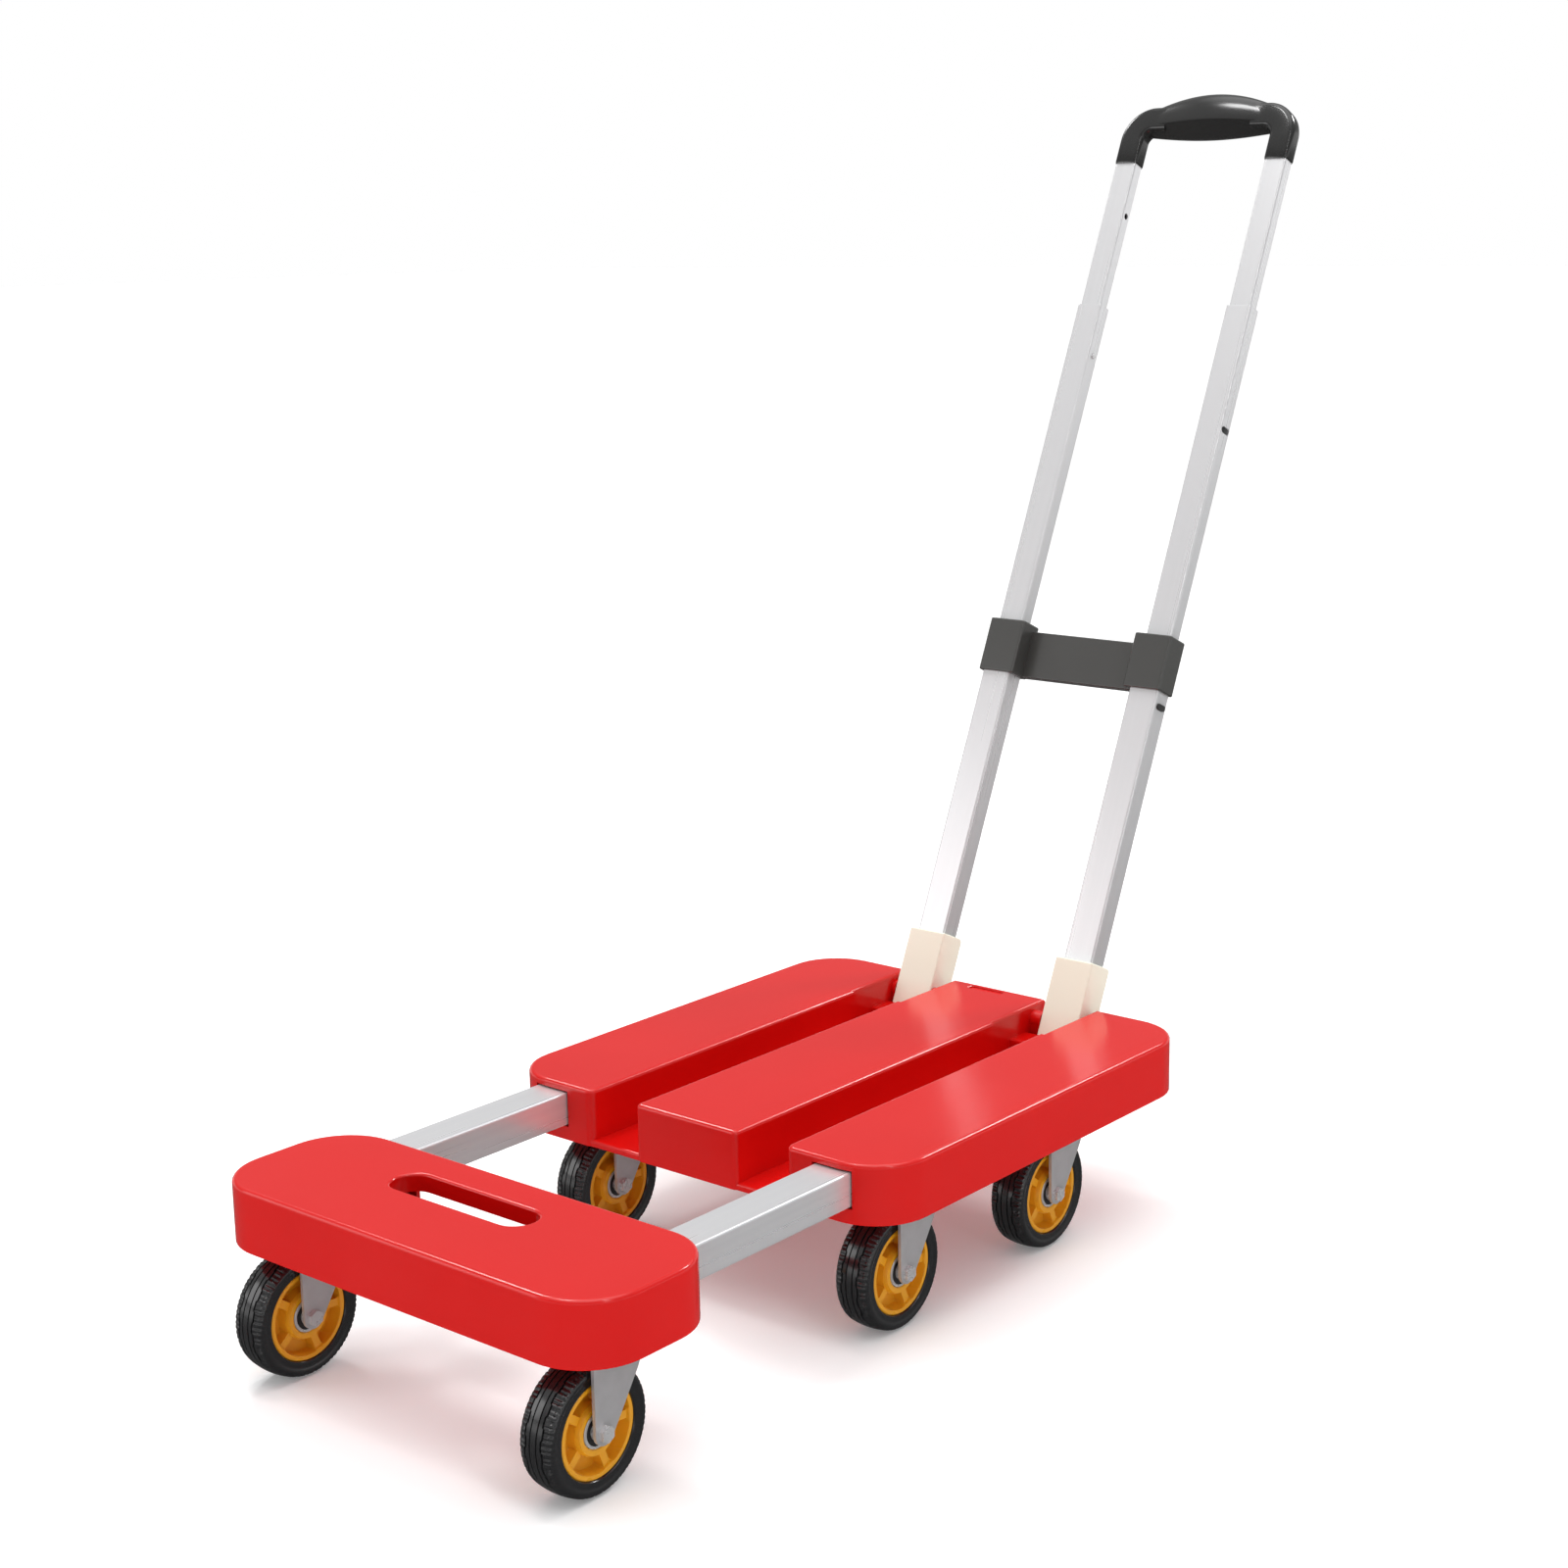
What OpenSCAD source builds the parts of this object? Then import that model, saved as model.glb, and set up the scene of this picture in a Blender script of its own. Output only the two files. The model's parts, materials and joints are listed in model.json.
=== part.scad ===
// Folding platform cart: a slatted deck and a pull-out front board on six
// swivel casters, with a three-stage handle that folds forward over the deck.
// +X is to the right, +Y points back towards the handle and +Z is up.
// The origin is on the floor, below the middle of the opened cart.

/* [Deck] */
// Width across the deck
deck_width = 340; // [330:5:360]
// Length of the deck
deck_length = 361.5; // [355:0.5:400]
// Height of the deck moulding
deck_thickness = 41; // [41:0.5:46]
// Width of the centre slat
centre_slat_width = 90; // [86:1:92]
// Width of each channel that takes a folded handle tube
channel_width = 41; // [40.5:0.5:43]
// Corner radius of the deck, seen from above
deck_corner = 40; // [25:1:45]

/* [Front board] */
// Width across the front board
board_width = 336; // [330:2:356]
// Length of the front board
board_length = 116; // [112:1:130]
// Height of the front board moulding
board_thickness = 42; // [41:0.5:46]
// Corner radius of the front board, seen from above
board_corner = 42; // [25:1:45]
// Gap between the front board and the deck when pulled out
pull_out = 147.5; // [120:0.5:160]
// Length of the hand slot
hand_slot_length = 120; // [90:1:130]
// Width of the hand slot
hand_slot_width = 27.5; // [24:0.5:30]
// Sideways place of the hand slot
hand_slot_shift = -10; // [-15:1:15]

/* [Wheels] */
// Diameter of a tyre
wheel_diameter = 82; // [78:1:84]
// Width of a tyre
tyre_width = 26; // [24:0.5:26]
// Diameter of a hub, where the tyre begins
hub_diameter = 59; // [55:1:62]
// Distance that an axle lies in front of its swivel pin
caster_trail = 16; // [14:1:18]
// Distance between a left and a right swivel pin
caster_track = 254; // [250:2:260]

/* [Handle] */
// Backward lean of the opened handle, in degrees
handle_lean = 24.3; // [15:0.1:28]
// Distance between the left and right handle tubes, centre to centre
tube_spacing = 137; // [136:0.5:138]
// Height of the lower tube's top end above the hinge
lower_tube_top = 300; // [285:1:305]
// Length of middle tube that shows above the lower tube
middle_reach = 273; // [262:1:280]
// Length of top tube that shows between the middle tube and the grip
top_reach = 122; // [110:1:126]

/* [Hidden] */
$fn = 48;
left = -1;
right = 1;

// Shells
wall = 3;
base_plate = 2.5;
base_gap = 0.2;

// Casters, from the floor up
wheel_radius = wheel_diameter / 2;
hub_radius = hub_diameter / 2;
hub_width = 23;
fork_gap = 2.4;
fork_plate = 2;
race_gap = 0.3;
race_height = 1.8;
mount_plate = 2;
fork_low = wheel_diameter + fork_gap;
fork_top = fork_low + fork_plate;
race_low = fork_top + race_gap;
mount_low = race_low + race_height;
underside = mount_low + mount_plate;
mount_size = [58, 50];
mount_holes = [46, 36];
axle_radius = 4;
running_gap = 0.05;
bearing_radius = 11;
bearing_width = 7;
fork_inside = tyre_width / 2 + 1.8;
fork_outside = fork_inside + 2.2;
fork_boss = 7.5;
caster_screw = 2.2;
caster_screw_head = [4.2, 1.6];
caster_screw_length = 10.4;
fork_back = 18.5;
axle_nut = [5.4, 3];
hub_pocket = 8;
hub_rim = 4;
hub_boss = 3;
hub_spoke = 6;

deck_top = underside + deck_thickness;
board_top = underside + board_thickness;

// Handle, measured from its hinge along the tubes
socket_size = [32.8, 26.2];
socket_front = -5.8;
socket_top = 49;
socket_heel = -18;
tube_depth = 8;
tube_bottom = 6;
lower_tube = [25.2, 18];
lower_wall = 1.2;
middle_tube = [22, 14];
middle_wall = 1.1;
top_tube = [19, 11.4];
top_wall = 1;
tube_corner = 1.6;
crossbar_low = lower_tube_top - 38;
crossbar_high = lower_tube_top + 5;
crossbar_block = [32.5, 23.2];
crossbar_front = -4.6;
crossbar_plate_front = 10.4;
plug_collar = 6;
plug_spigot = 4.5;
middle_bottom = lower_tube_top - 57;
middle_top = lower_tube_top + middle_reach;
top_bottom = middle_top - 50;
grip_low = middle_top + top_reach;
top_tube_end = grip_low + 14;
lower_button_at = lower_tube_top - 49;
upper_button_at = middle_top - 42;
button_proud = 1.3;
lower_button = [11, 4.6];
upper_button = [4.4, 4.4];
button_gap = 0.3;
middle_travel = 222;
top_travel = 120;
rod_radius = 3.5;
hinge_inset = 15;
hinge_z = underside + 29.5;

// Grip: its bar has an arched top and a flatter underside
grip_arm = [21, 15];
grip_height = 58;
grip_bend = 28;
grip_bar_depth = 23;
grip_bar_round = 9;
grip_bar_middle = 37;
grip_bar_end = 24;
grip_top_rise = 10;
grip_bottom_rise = grip_bar_middle - grip_bar_end - grip_top_rise;
grip_top = grip_low + grip_height;
grip_bar_half = tube_spacing / 2 + grip_arm.x / 2 - grip_bend;

// Places along the cart. The whole length decides where the front board is.
// The rearmost point is on the round upper rear edge of the grip's bar.
handle_reach = (grip_top - grip_bar_round) * sin(handle_lean)
    + (tube_depth + grip_bar_depth / 2 - grip_bar_round) * cos(handle_lean) + grip_bar_round;
// The front tyres reach a little further forward than the board.
board_caster_inset = 49.8;
tyre_ahead = max(0, wheel_radius + caster_trail - board_caster_inset);
whole_length = tyre_ahead + board_length + pull_out + deck_length - hinge_inset + handle_reach;
board_front = tyre_ahead - whole_length / 2;
board_rear = board_front + board_length;
deck_front = board_rear + pull_out;
deck_rear = deck_front + deck_length;
hinge_y = deck_rear - hinge_inset;

// Deck
channel_in = centre_slat_width / 2;
channel_out = channel_in + channel_width;
channel_floor = underside + 5;
channel_wide = 2.5;
channel_step = deck_rear - 70;
cavity_top = deck_top - wall;
pad_top = underside + 9.8;
pad_half = 24;
stop_top = underside + 21.5;
rib_width = 3;
deck_ribs = [150, 190, 320];
release_slot = [30, 7];
release_at = [-7, deck_rear - 8];
base_screw = 1.9;
base_screw_head = 4;
base_screw_sink = 2.2;
boss_radius = 5;
hinge_boss = 6.5;
hinge_pillar = 5.5;
hinge_boss_gap = 0.4;

// Extension tubes
extension_x = 124.75;
extension_z = underside + 23;
extension_tube = [29, 23.6];
extension_wall = 1.5;
extension_in_board = 98;
extension_in_deck = 100;
extension_stop = [32, 26];
extension_stop_length = 5;
bush_size = [36, 30];
bush_length = 12;
bush_places = [wall, 85];
passage = [36, 27.2];
passage_end = 256;

// Front board
slot_front = board_front + 60;
slot_lip = 12;
board_notch = [196, 19.5];
// Seats of an extension tube in the board, as distances ahead of its rear edge
board_seats = [[18, 0], [99, 92]];
board_seat_half = 20;

// Casters, each named by its place: [name, swivel pin x, swivel pin y]
caster_x = caster_track / 2;
board_caster_y = board_front + board_caster_inset;
middle_caster_y = deck_front + 70.6;
rear_caster_y = deck_front + 243.9;
CASTERS = [
    ["front_left", -caster_x, board_caster_y],
    ["front_right", caster_x, board_caster_y],
    ["middle_left", -caster_x, middle_caster_y],
    ["middle_right", caster_x, middle_caster_y],
    ["rear_left", -caster_x, rear_caster_y],
    ["rear_right", caster_x, rear_caster_y]
];
BOARD_CASTERS = [0, 1];
DECK_CASTERS = [2, 3, 4, 5];

// Screws that hold the base plates, as [x, y]
deck_screw_places = [
    for (x = [-25, 25], y = [deck_front + 40, deck_rear - 90]) [x, y],
    for (x = [-157, 157], y = [deck_front + 120, deck_front + 187, deck_front + 300]) [x, y]
];
board_screw_places = [
    for (x = [-85, 85], y = [board_front + 20, board_front + 96]) [x, y]
];

// Shapes that repeat

module box(low, high) {
    translate(low) cube(high - low);
}

module rounded_rect(size, radius) {
    square([size.x - 2 * radius, size.y], center = true);
    square([size.x, size.y - 2 * radius], center = true);
    for (x = [-1, 1], y = [-1, 1])
        translate([x * (size.x / 2 - radius), y * (size.y / 2 - radius)])
            circle(radius);
}

// A slab centred on the cart's middle line, with round corners seen from above
module slab(width, front, rear, low, high, radius) {
    translate([0, (front + rear) / 2, low])
        linear_extrude(high - low)
            rounded_rect([width, rear - front], radius);
}

// A slot with round ends, lying along X
module long_hole(length, width, low, high) {
    translate([0, 0, low]) linear_extrude(high - low) {
        square([length - width, width], center = true);
        for (x = [-1, 1])
            translate([x * (length - width) / 2, 0]) circle(width / 2);
    }
}

// A rectangular tube or frame that runs along Z
module hollow(size, inner, low, high, radius) {
    difference() {
        translate([0, 0, low]) linear_extrude(high - low) rounded_rect(size, radius);
        translate([0, 0, low - 1]) linear_extrude(high - low + 2) square(inner, center = true);
    }
}

module to_side(side) {
    mirror([side == left ? 1 : 0, 0, 0]) children();
}

// A cylinder along X, centred on the middle line
module rod_x(radius, length) {
    rotate([0, 90, 0]) cylinder(r = radius, h = length, center = true);
}

// The handle's own frame: the hinge is its origin and Z runs up the tubes
module in_handle() {
    translate([0, hinge_y, hinge_z]) rotate([-handle_lean, 0, 0]) children();
}

module in_handle_tube(side) {
    in_handle() to_side(side) translate([tube_spacing / 2, tube_depth, 0]) children();
}

// A frame along the cart, centred on an extension tube
module in_extension(side, start) {
    to_side(side) translate([extension_x, start, extension_z]) rotate([-90, 0, 0]) children();
}

module countersunk_screw(place, tip) {
    translate([place.x, place.y, underside]) {
        cylinder(r1 = base_screw_head, r2 = base_screw, h = base_screw_sink);
        cylinder(r = base_screw, h = tip);
    }
}

module at_mount_holes(i) {
    for (x = [-1, 1], y = [-1, 1])
        translate([CASTERS[i][1] + x * mount_holes.x / 2, CASTERS[i][2] + y * mount_holes.y / 2, 0])
            children();
}

module caster_screws(i) {
    at_mount_holes(i) {
        translate([0, 0, mount_low - caster_screw_head[1]])
            cylinder(r = caster_screw_head[0], h = caster_screw_head[1]);
        translate([0, 0, mount_low - 1]) cylinder(r = caster_screw, h = caster_screw_length + 1);
    }
}

module caster_screw_holes(i) {
    at_mount_holes(i)
        translate([0, 0, mount_low - 1]) cylinder(r = caster_screw + running_gap, h = pad_top - mount_low);
}

// Deck

module channel() {
    box([channel_in, deck_front - 1, channel_floor], [channel_out, deck_rear + 1, deck_top + 1]);
    box([channel_in - channel_wide, channel_step, channel_floor],
        [channel_out + channel_wide, deck_rear + 1, deck_top + 1]);
}

module deck_inside(low, high) {
    slab(deck_width - 2 * wall, deck_front + wall, deck_rear - wall, low, high, deck_corner - wall);
}

// Space in one side slat, less its ribs, its caster pads and its screw bosses
module side_cavity() {
    difference() {
        intersection() {
            deck_inside(underside, cavity_top);
            box([channel_out + channel_wide + wall, deck_front + wall + bush_length, underside],
                [deck_width, deck_rear, cavity_top]);
        }
        for (y = deck_ribs)
            box([0, deck_front + y, 0], [deck_width, deck_front + y + rib_width, deck_top]);
        box([0, deck_front + bush_places[1], 0],
            [deck_width, deck_front + bush_places[1] + bush_length, deck_top]);
        for (y = [middle_caster_y, rear_caster_y])
            box([0, y - pad_half, 0], [deck_width, y + pad_half, pad_top]);
        for (p = deck_screw_places)
            translate([abs(p.x), p.y, 0]) cylinder(r = boss_radius, h = deck_top);
    }
}

module centre_cavity() {
    difference() {
        box([wall + channel_wide - channel_in, deck_front + wall, underside],
            [channel_in - channel_wide - wall, deck_rear - wall, cavity_top]);
        for (y = deck_ribs)
            box([-channel_in, deck_front + y, 0], [channel_in, deck_front + y + rib_width, deck_top]);
        for (p = deck_screw_places)
            translate([p.x, p.y, 0]) cylinder(r = boss_radius, h = deck_top);
    }
}

// Openings for an extension tube in the front wall, the bush seats and the ribs
module extension_passage() {
    translate([extension_x, 0, extension_z]) {
        translate([-bush_size.x / 2 + 1, deck_front - 1, -bush_size.y / 2 + 1])
            cube([bush_size.x - 2, wall + 2, bush_size.y - 2]);
        for (y = bush_places)
            translate([-bush_size.x / 2, deck_front + y, -bush_size.y / 2])
                cube([bush_size.x, bush_length, bush_size.y]);
        translate([-passage.x / 2, deck_front + wall, -passage.y / 2])
            cube([passage.x, passage_end - wall, passage.y]);
    }
}

// Blocks in the channels that the opened handle leans against
module handle_stops() {
    difference() {
        for (side = [left, right])
            to_side(side)
                box([channel_in - channel_wide - 1, hinge_y - 32, channel_floor - 1],
                    [channel_out + channel_wide + 1, hinge_y, stop_top]);
        in_handle() translate([-deck_width, socket_front - 0.1, -deck_width])
            cube(2 * deck_width);
    }
}

// Round bosses on narrower pillars, which carry the hinge rod on each side of a socket
module hinge_bosses() {
    socket_in = tube_spacing / 2 - socket_size.x / 2 - hinge_boss_gap;
    socket_out = tube_spacing / 2 + socket_size.x / 2 + hinge_boss_gap;
    spans = [[channel_in - channel_wide - 1, socket_in], [socket_out, channel_out + channel_wide + 1]];
    for (side = [left, right], span = spans) to_side(side) {
        translate([span[0], hinge_y, hinge_z]) rotate([0, 90, 0])
            cylinder(r = hinge_boss, h = span[1] - span[0]);
        box([span[0], hinge_y - hinge_pillar, channel_floor - 1],
            [span[1], hinge_y + hinge_pillar, hinge_z]);
    }
}

module deck_shell() {
    color([0.83, 0.09, 0.08]) difference() {
        union() {
            difference() {
                slab(deck_width, deck_front, deck_rear, underside, deck_top, deck_corner);
                for (side = [left, right]) to_side(side) {
                    channel();
                    side_cavity();
                    extension_passage();
                }
                centre_cavity();
                deck_inside(underside - 1, underside + base_plate);
            }
            handle_stops();
            hinge_bosses();
        }
        translate([0, hinge_y, hinge_z]) rod_x(rod_radius + running_gap, 2 * channel_out + 20);
        translate([release_at.x - release_slot.x / 2, release_at.y - release_slot.y / 2, cavity_top - 1])
            cube([release_slot.x, release_slot.y, wall + 2]);
        for (p = deck_screw_places)
            translate([p.x, p.y, underside]) cylinder(r = base_screw + running_gap, h = 16);
        for (i = DECK_CASTERS) caster_screw_holes(i);
    }
}

module deck_base_plate() {
    color([0.72, 0.08, 0.07]) difference() {
        slab(deck_width - 2 * wall - 2 * base_gap, deck_front + wall + base_gap,
             deck_rear - wall - base_gap, underside, underside + base_plate,
             deck_corner - wall - base_gap);
        for (p = deck_screw_places) countersunk_screw(p, 16);
        for (i = DECK_CASTERS) caster_screw_holes(i);
    }
}

module deck_screws() {
    color("silver") {
        for (p = deck_screw_places) countersunk_screw(p, 14);
        for (i = DECK_CASTERS) caster_screws(i);
    }
}

module deck_tube_bushes() {
    color([0.1, 0.1, 0.1])
        for (side = [left, right], y = bush_places)
            in_extension(side, deck_front + y)
                hollow(bush_size, extension_tube + [0.4, 0.4], 0, bush_length, 0.5);
}

module hinge_rod() {
    color("silver") translate([0, hinge_y, hinge_z]) rod_x(rod_radius, 2 * channel_out + 18);
}

// Tab in the slot behind the centre slat, with a flange that keeps it in
module fold_release_tab() {
    size = release_slot - [0.6, 0.6];
    color([0.7, 0.07, 0.06]) translate([release_at.x, release_at.y, 0]) {
        translate([-size.x / 2, -size.y / 2, cavity_top - 8]) cube([size.x, size.y, 9.5]);
        translate([-size.x / 2 - 2, -size.y / 2, cavity_top - 3.2]) cube([size.x + 4, size.y, 3]);
    }
}

// Front board

module board_inside(low, high) {
    slab(board_width - 2 * wall, board_front + wall, board_rear - wall, low, high,
         board_corner - wall);
}

module at_hand_slot() {
    translate([hand_slot_shift, slot_front + hand_slot_width / 2, 0]) children();
}

module board_cavity() {
    difference() {
        board_inside(underside, board_top - wall);
        at_hand_slot()
            long_hole(hand_slot_length + 2 * wall, hand_slot_width + 2 * wall,
                      board_top - slot_lip, board_top);
        for (side = [left, right]) to_side(side) {
            box([caster_x - 29, board_caster_y - pad_half, 0],
                [deck_width, board_caster_y + pad_half, extension_z - extension_tube.y / 2]);
            for (seat = board_seats)
                box([extension_x - board_seat_half, board_rear - seat[0], 0],
                    [extension_x + board_seat_half, board_rear - seat[1], board_top]);
        }
        for (p = board_screw_places)
            translate([p.x, p.y, 0]) cylinder(r = boss_radius, h = board_top);
    }
}

module board_shell() {
    color([0.83, 0.09, 0.08]) difference() {
        slab(board_width, board_front, board_rear, underside, board_top, board_corner);
        board_cavity();
        board_inside(underside - 1, underside + base_plate);
        at_hand_slot()
            long_hole(hand_slot_length, hand_slot_width, board_top - slot_lip - 1, board_top + 1);
        for (side = [left, right])
            in_extension(side, board_rear - extension_in_board)
                linear_extrude(extension_in_board + 1) square(extension_tube, center = true);
        box([-board_notch.x / 2, board_rear - wall - 1, underside - 1],
            [board_notch.x / 2, board_rear + 1, underside + board_notch.y]);
        for (p = board_screw_places)
            translate([p.x, p.y, underside]) cylinder(r = base_screw + running_gap, h = 16);
        for (i = BOARD_CASTERS) caster_screw_holes(i);
    }
}

module board_base_plate() {
    color([0.72, 0.08, 0.07]) difference() {
        slab(board_width - 2 * wall - 2 * base_gap, board_front + wall + base_gap,
             board_rear - wall - base_gap, underside, underside + base_plate,
             board_corner - wall - base_gap);
        at_hand_slot()
            long_hole(hand_slot_length, hand_slot_width, underside - 1, underside + base_plate + 1);
        for (p = board_screw_places) countersunk_screw(p, 16);
        for (i = BOARD_CASTERS) caster_screw_holes(i);
    }
}

module board_screws() {
    color("silver") {
        for (p = board_screw_places) countersunk_screw(p, 14);
        for (i = BOARD_CASTERS) caster_screws(i);
    }
}

module extension_tube(side) {
    color([0.8, 0.81, 0.82])
        in_extension(side, board_rear - extension_in_board)
            hollow(extension_tube, extension_tube - 2 * [extension_wall, extension_wall], 0,
                   extension_in_board + pull_out + extension_in_deck, tube_corner);
}

module extension_tube_stops() {
    spigot = extension_tube - 2 * [extension_wall, extension_wall] - [0.2, 0.2];
    color([0.1, 0.1, 0.1])
        for (side = [left, right])
            in_extension(side, deck_front + extension_in_deck) {
                linear_extrude(extension_stop_length) rounded_rect(extension_stop, tube_corner);
                translate([0, 0, -8]) linear_extrude(9) square(spigot, center = true);
            }
}

// Handle

module handle_socket(side) {
    color([0.93, 0.86, 0.72]) difference() {
        in_handle() to_side(side)
            translate([tube_spacing / 2 - socket_size.x / 2, 0, 0])
                rotate([90, 0, 90]) linear_extrude(socket_size.x)
                    polygon([
                        [socket_front, socket_heel], [12, socket_heel],
                        [socket_front + socket_size.y, -2],
                        [socket_front + socket_size.y, socket_top],
                        [socket_front, socket_top]
                    ]);
        in_handle_tube(side)
            translate([0, 0, tube_bottom]) linear_extrude(socket_top)
                square(lower_tube, center = true);
        translate([0, hinge_y, hinge_z]) rod_x(rod_radius + running_gap, deck_width);
    }
}

// An opening or a button on the side of a tube: an oval across the tube, at a
// height along it, from one distance to another off the tube's middle
module side_oval(size, at, near, far) {
    translate([near, 0, at]) rotate([90, 0, 90]) linear_extrude(far - near) {
        if (size.x > size.y) square([size.x - size.y, size.y], center = true);
        for (y = size.x > size.y ? [-1, 1] : [0])
            translate([y * (size.x - size.y) / 2, 0]) circle(size.y / 2);
    }
}

// A hole for a button through the right-hand wall of a tube
module button_hole(shape, gap, at, section, thickness) {
    side_oval(shape + [gap, gap], at, section.x / 2 - thickness - 1, section.x / 2 + 1);
}

module handle_stage(section, thickness, low, high) {
    color([0.82, 0.83, 0.84])
        hollow(section, section - 2 * [thickness, thickness], low, high, tube_corner);
}

module lower_tube(side) {
    difference() {
        in_handle_tube(side) handle_stage(lower_tube, lower_wall, tube_bottom, lower_tube_top);
        in_handle_tube(side)
            button_hole(lower_button, button_gap, lower_button_at, lower_tube, lower_wall);
    }
}

module middle_tube(side) {
    difference() {
        in_handle_tube(side) handle_stage(middle_tube, middle_wall, middle_bottom, middle_top);
        in_handle_tube(side) {
            for (z = [lower_button_at, lower_button_at + middle_travel])
                button_hole(lower_button, 2 * button_gap, z, middle_tube, middle_wall);
            mirror([1, 0, 0])
                button_hole(upper_button, button_gap, upper_button_at, middle_tube, middle_wall);
        }
    }
}

module top_tube(side) {
    difference() {
        in_handle_tube(side) handle_stage(top_tube, top_wall, top_bottom, top_tube_end);
        in_handle_tube(side)
            for (z = [upper_button_at, upper_button_at + top_travel])
                mirror([1, 0, 0]) button_hole(upper_button, 2 * button_gap, z, top_tube, top_wall);
    }
}

// A button in the right-hand wall of an outer tube, from its inner end to its outer face
module side_button(shape, at, section, thickness) {
    side_oval(shape, at, section.x / 2 - thickness + running_gap, section.x / 2 + button_proud);
}

module lower_button(side) {
    color([0.08, 0.08, 0.08]) in_handle_tube(side)
        side_button(lower_button, lower_button_at, lower_tube, lower_wall);
}

module upper_button(side) {
    color("silver") in_handle_tube(side) mirror([1, 0, 0])
        side_button(upper_button, upper_button_at, middle_tube, middle_wall);
}

// A guide plug in the lower end of a sliding tube
module tube_plug(outer, outer_wall, inner, inner_wall, at) {
    collar = outer - 2 * [outer_wall, outer_wall] - [0.3, 0.3];
    spigot = inner - 2 * [inner_wall, inner_wall] - [0.2, 0.2];
    translate([0, 0, at - plug_collar]) linear_extrude(plug_collar) square(collar, center = true);
    translate([0, 0, at - 1]) linear_extrude(plug_spigot) square(spigot, center = true);
}

module middle_tube_plugs() {
    color([0.1, 0.1, 0.1]) for (side = [left, right]) in_handle_tube(side)
        tube_plug(lower_tube, lower_wall, middle_tube, middle_wall, middle_bottom);
}

module top_tube_plugs() {
    color([0.1, 0.1, 0.1]) for (side = [left, right]) in_handle_tube(side)
        tube_plug(middle_tube, middle_wall, top_tube, top_wall, top_bottom);
}

// Two blocks that clamp the lower tubes, joined by a plate near their back
module crossbar() {
    block_x = 67.25;
    back = crossbar_front + crossbar_block.y;
    color([0.2, 0.2, 0.2]) difference() {
        in_handle() {
            for (side = [left, right]) to_side(side)
                translate([block_x, crossbar_front + crossbar_block.y / 2, crossbar_low])
                    linear_extrude(crossbar_high - crossbar_low)
                        rounded_rect(crossbar_block, 2.5);
            box([-block_x + 8, crossbar_plate_front, crossbar_low], [block_x - 8, back, crossbar_high - 5]);
        }
        for (side = [left, right]) in_handle_tube(side) {
            translate([0, 0, crossbar_low - 1])
                linear_extrude(lower_tube_top - crossbar_low + 1) square(lower_tube, center = true);
            linear_extrude(crossbar_high + 1) square(middle_tube + [0.8, 0.8], center = true);
        }
    }
}

// A disc with a round rim, whose rim falls by the given rise over half of the bar
module grip_disc(rise, direction, face) {
    arc = (grip_bar_half * grip_bar_half + rise * rise) / (2 * rise);
    translate([0, tube_depth, face - direction * arc]) rotate([90, 0, 0])
        rotate_extrude($fn = 180) intersection() {
            rounded_rect([2 * arc, grip_bar_depth], grip_bar_round);
            translate([0, -grip_bar_depth]) square([2 * arc, 2 * grip_bar_depth]);
        }
}

// The bar of the grip lies between two such rims
module grip_bar() {
    intersection() {
        grip_disc(grip_top_rise, 1, grip_top);
        grip_disc(grip_bottom_rise, -1, grip_top - grip_bar_middle);
        translate([-grip_bar_half - 2, -grip_bar_depth, grip_low])
            cube([2 * grip_bar_half + 4, 4 * grip_bar_depth, 2 * grip_height]);
    }
}

module grip_side() {
    outer = tube_spacing / 2 + grip_arm.x / 2;
    bend_z = grip_top - grip_top_rise - grip_bend;
    translate([tube_spacing / 2, tube_depth, grip_low])
        linear_extrude(bend_z - grip_low) rounded_rect(grip_arm, 3);
    translate([outer - grip_bend, tube_depth, bend_z]) rotate([90, 0, 0])
        intersection() {
            rotate_extrude() translate([grip_bend - grip_arm.x / 2, 0])
                rounded_rect(grip_arm, 3);
            translate([0, 0, -grip_arm.y]) cube(2 * grip_arm.y + 2 * grip_bend);
        }
}

module grip() {
    color([0.09, 0.09, 0.09]) difference() {
        in_handle() {
            grip_bar();
            for (side = [left, right]) to_side(side) grip_side();
        }
        for (side = [left, right]) in_handle_tube(side)
            translate([0, 0, grip_low - 1])
                linear_extrude(top_tube_end - grip_low + 1) square(top_tube, center = true);
    }
}

// Casters, each in its own frame: the swivel pin is at x = 0, y = 0

module at_caster(i) {
    translate([CASTERS[i][1], CASTERS[i][2], 0]) children();
}

module at_axle() {
    translate([0, -caster_trail, wheel_radius]) children();
}

module caster_mount() {
    difference() {
        translate([0, 0, mount_low]) linear_extrude(mount_plate) rounded_rect(mount_size, 4);
        for (x = [-1, 1], y = [-1, 1])
            translate([x * mount_holes.x / 2, y * mount_holes.y / 2, mount_low - 1])
                cylinder(r = caster_screw + running_gap, h = mount_plate + 2);
    }
    translate([0, 0, race_low]) cylinder(r = 16, h = race_height);
    translate([0, 0, fork_low - 2]) cylinder(r = 5, h = underside - fork_low + 1);
    translate([0, 0, fork_low - 2]) cylinder(r = 8, h = 2 - race_gap);
}

module deck_caster_mounts() {
    color([0.7, 0.71, 0.72]) for (i = DECK_CASTERS) at_caster(i) caster_mount();
}

module board_caster_mounts() {
    color([0.7, 0.71, 0.72]) for (i = BOARD_CASTERS) at_caster(i) caster_mount();
}

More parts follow.
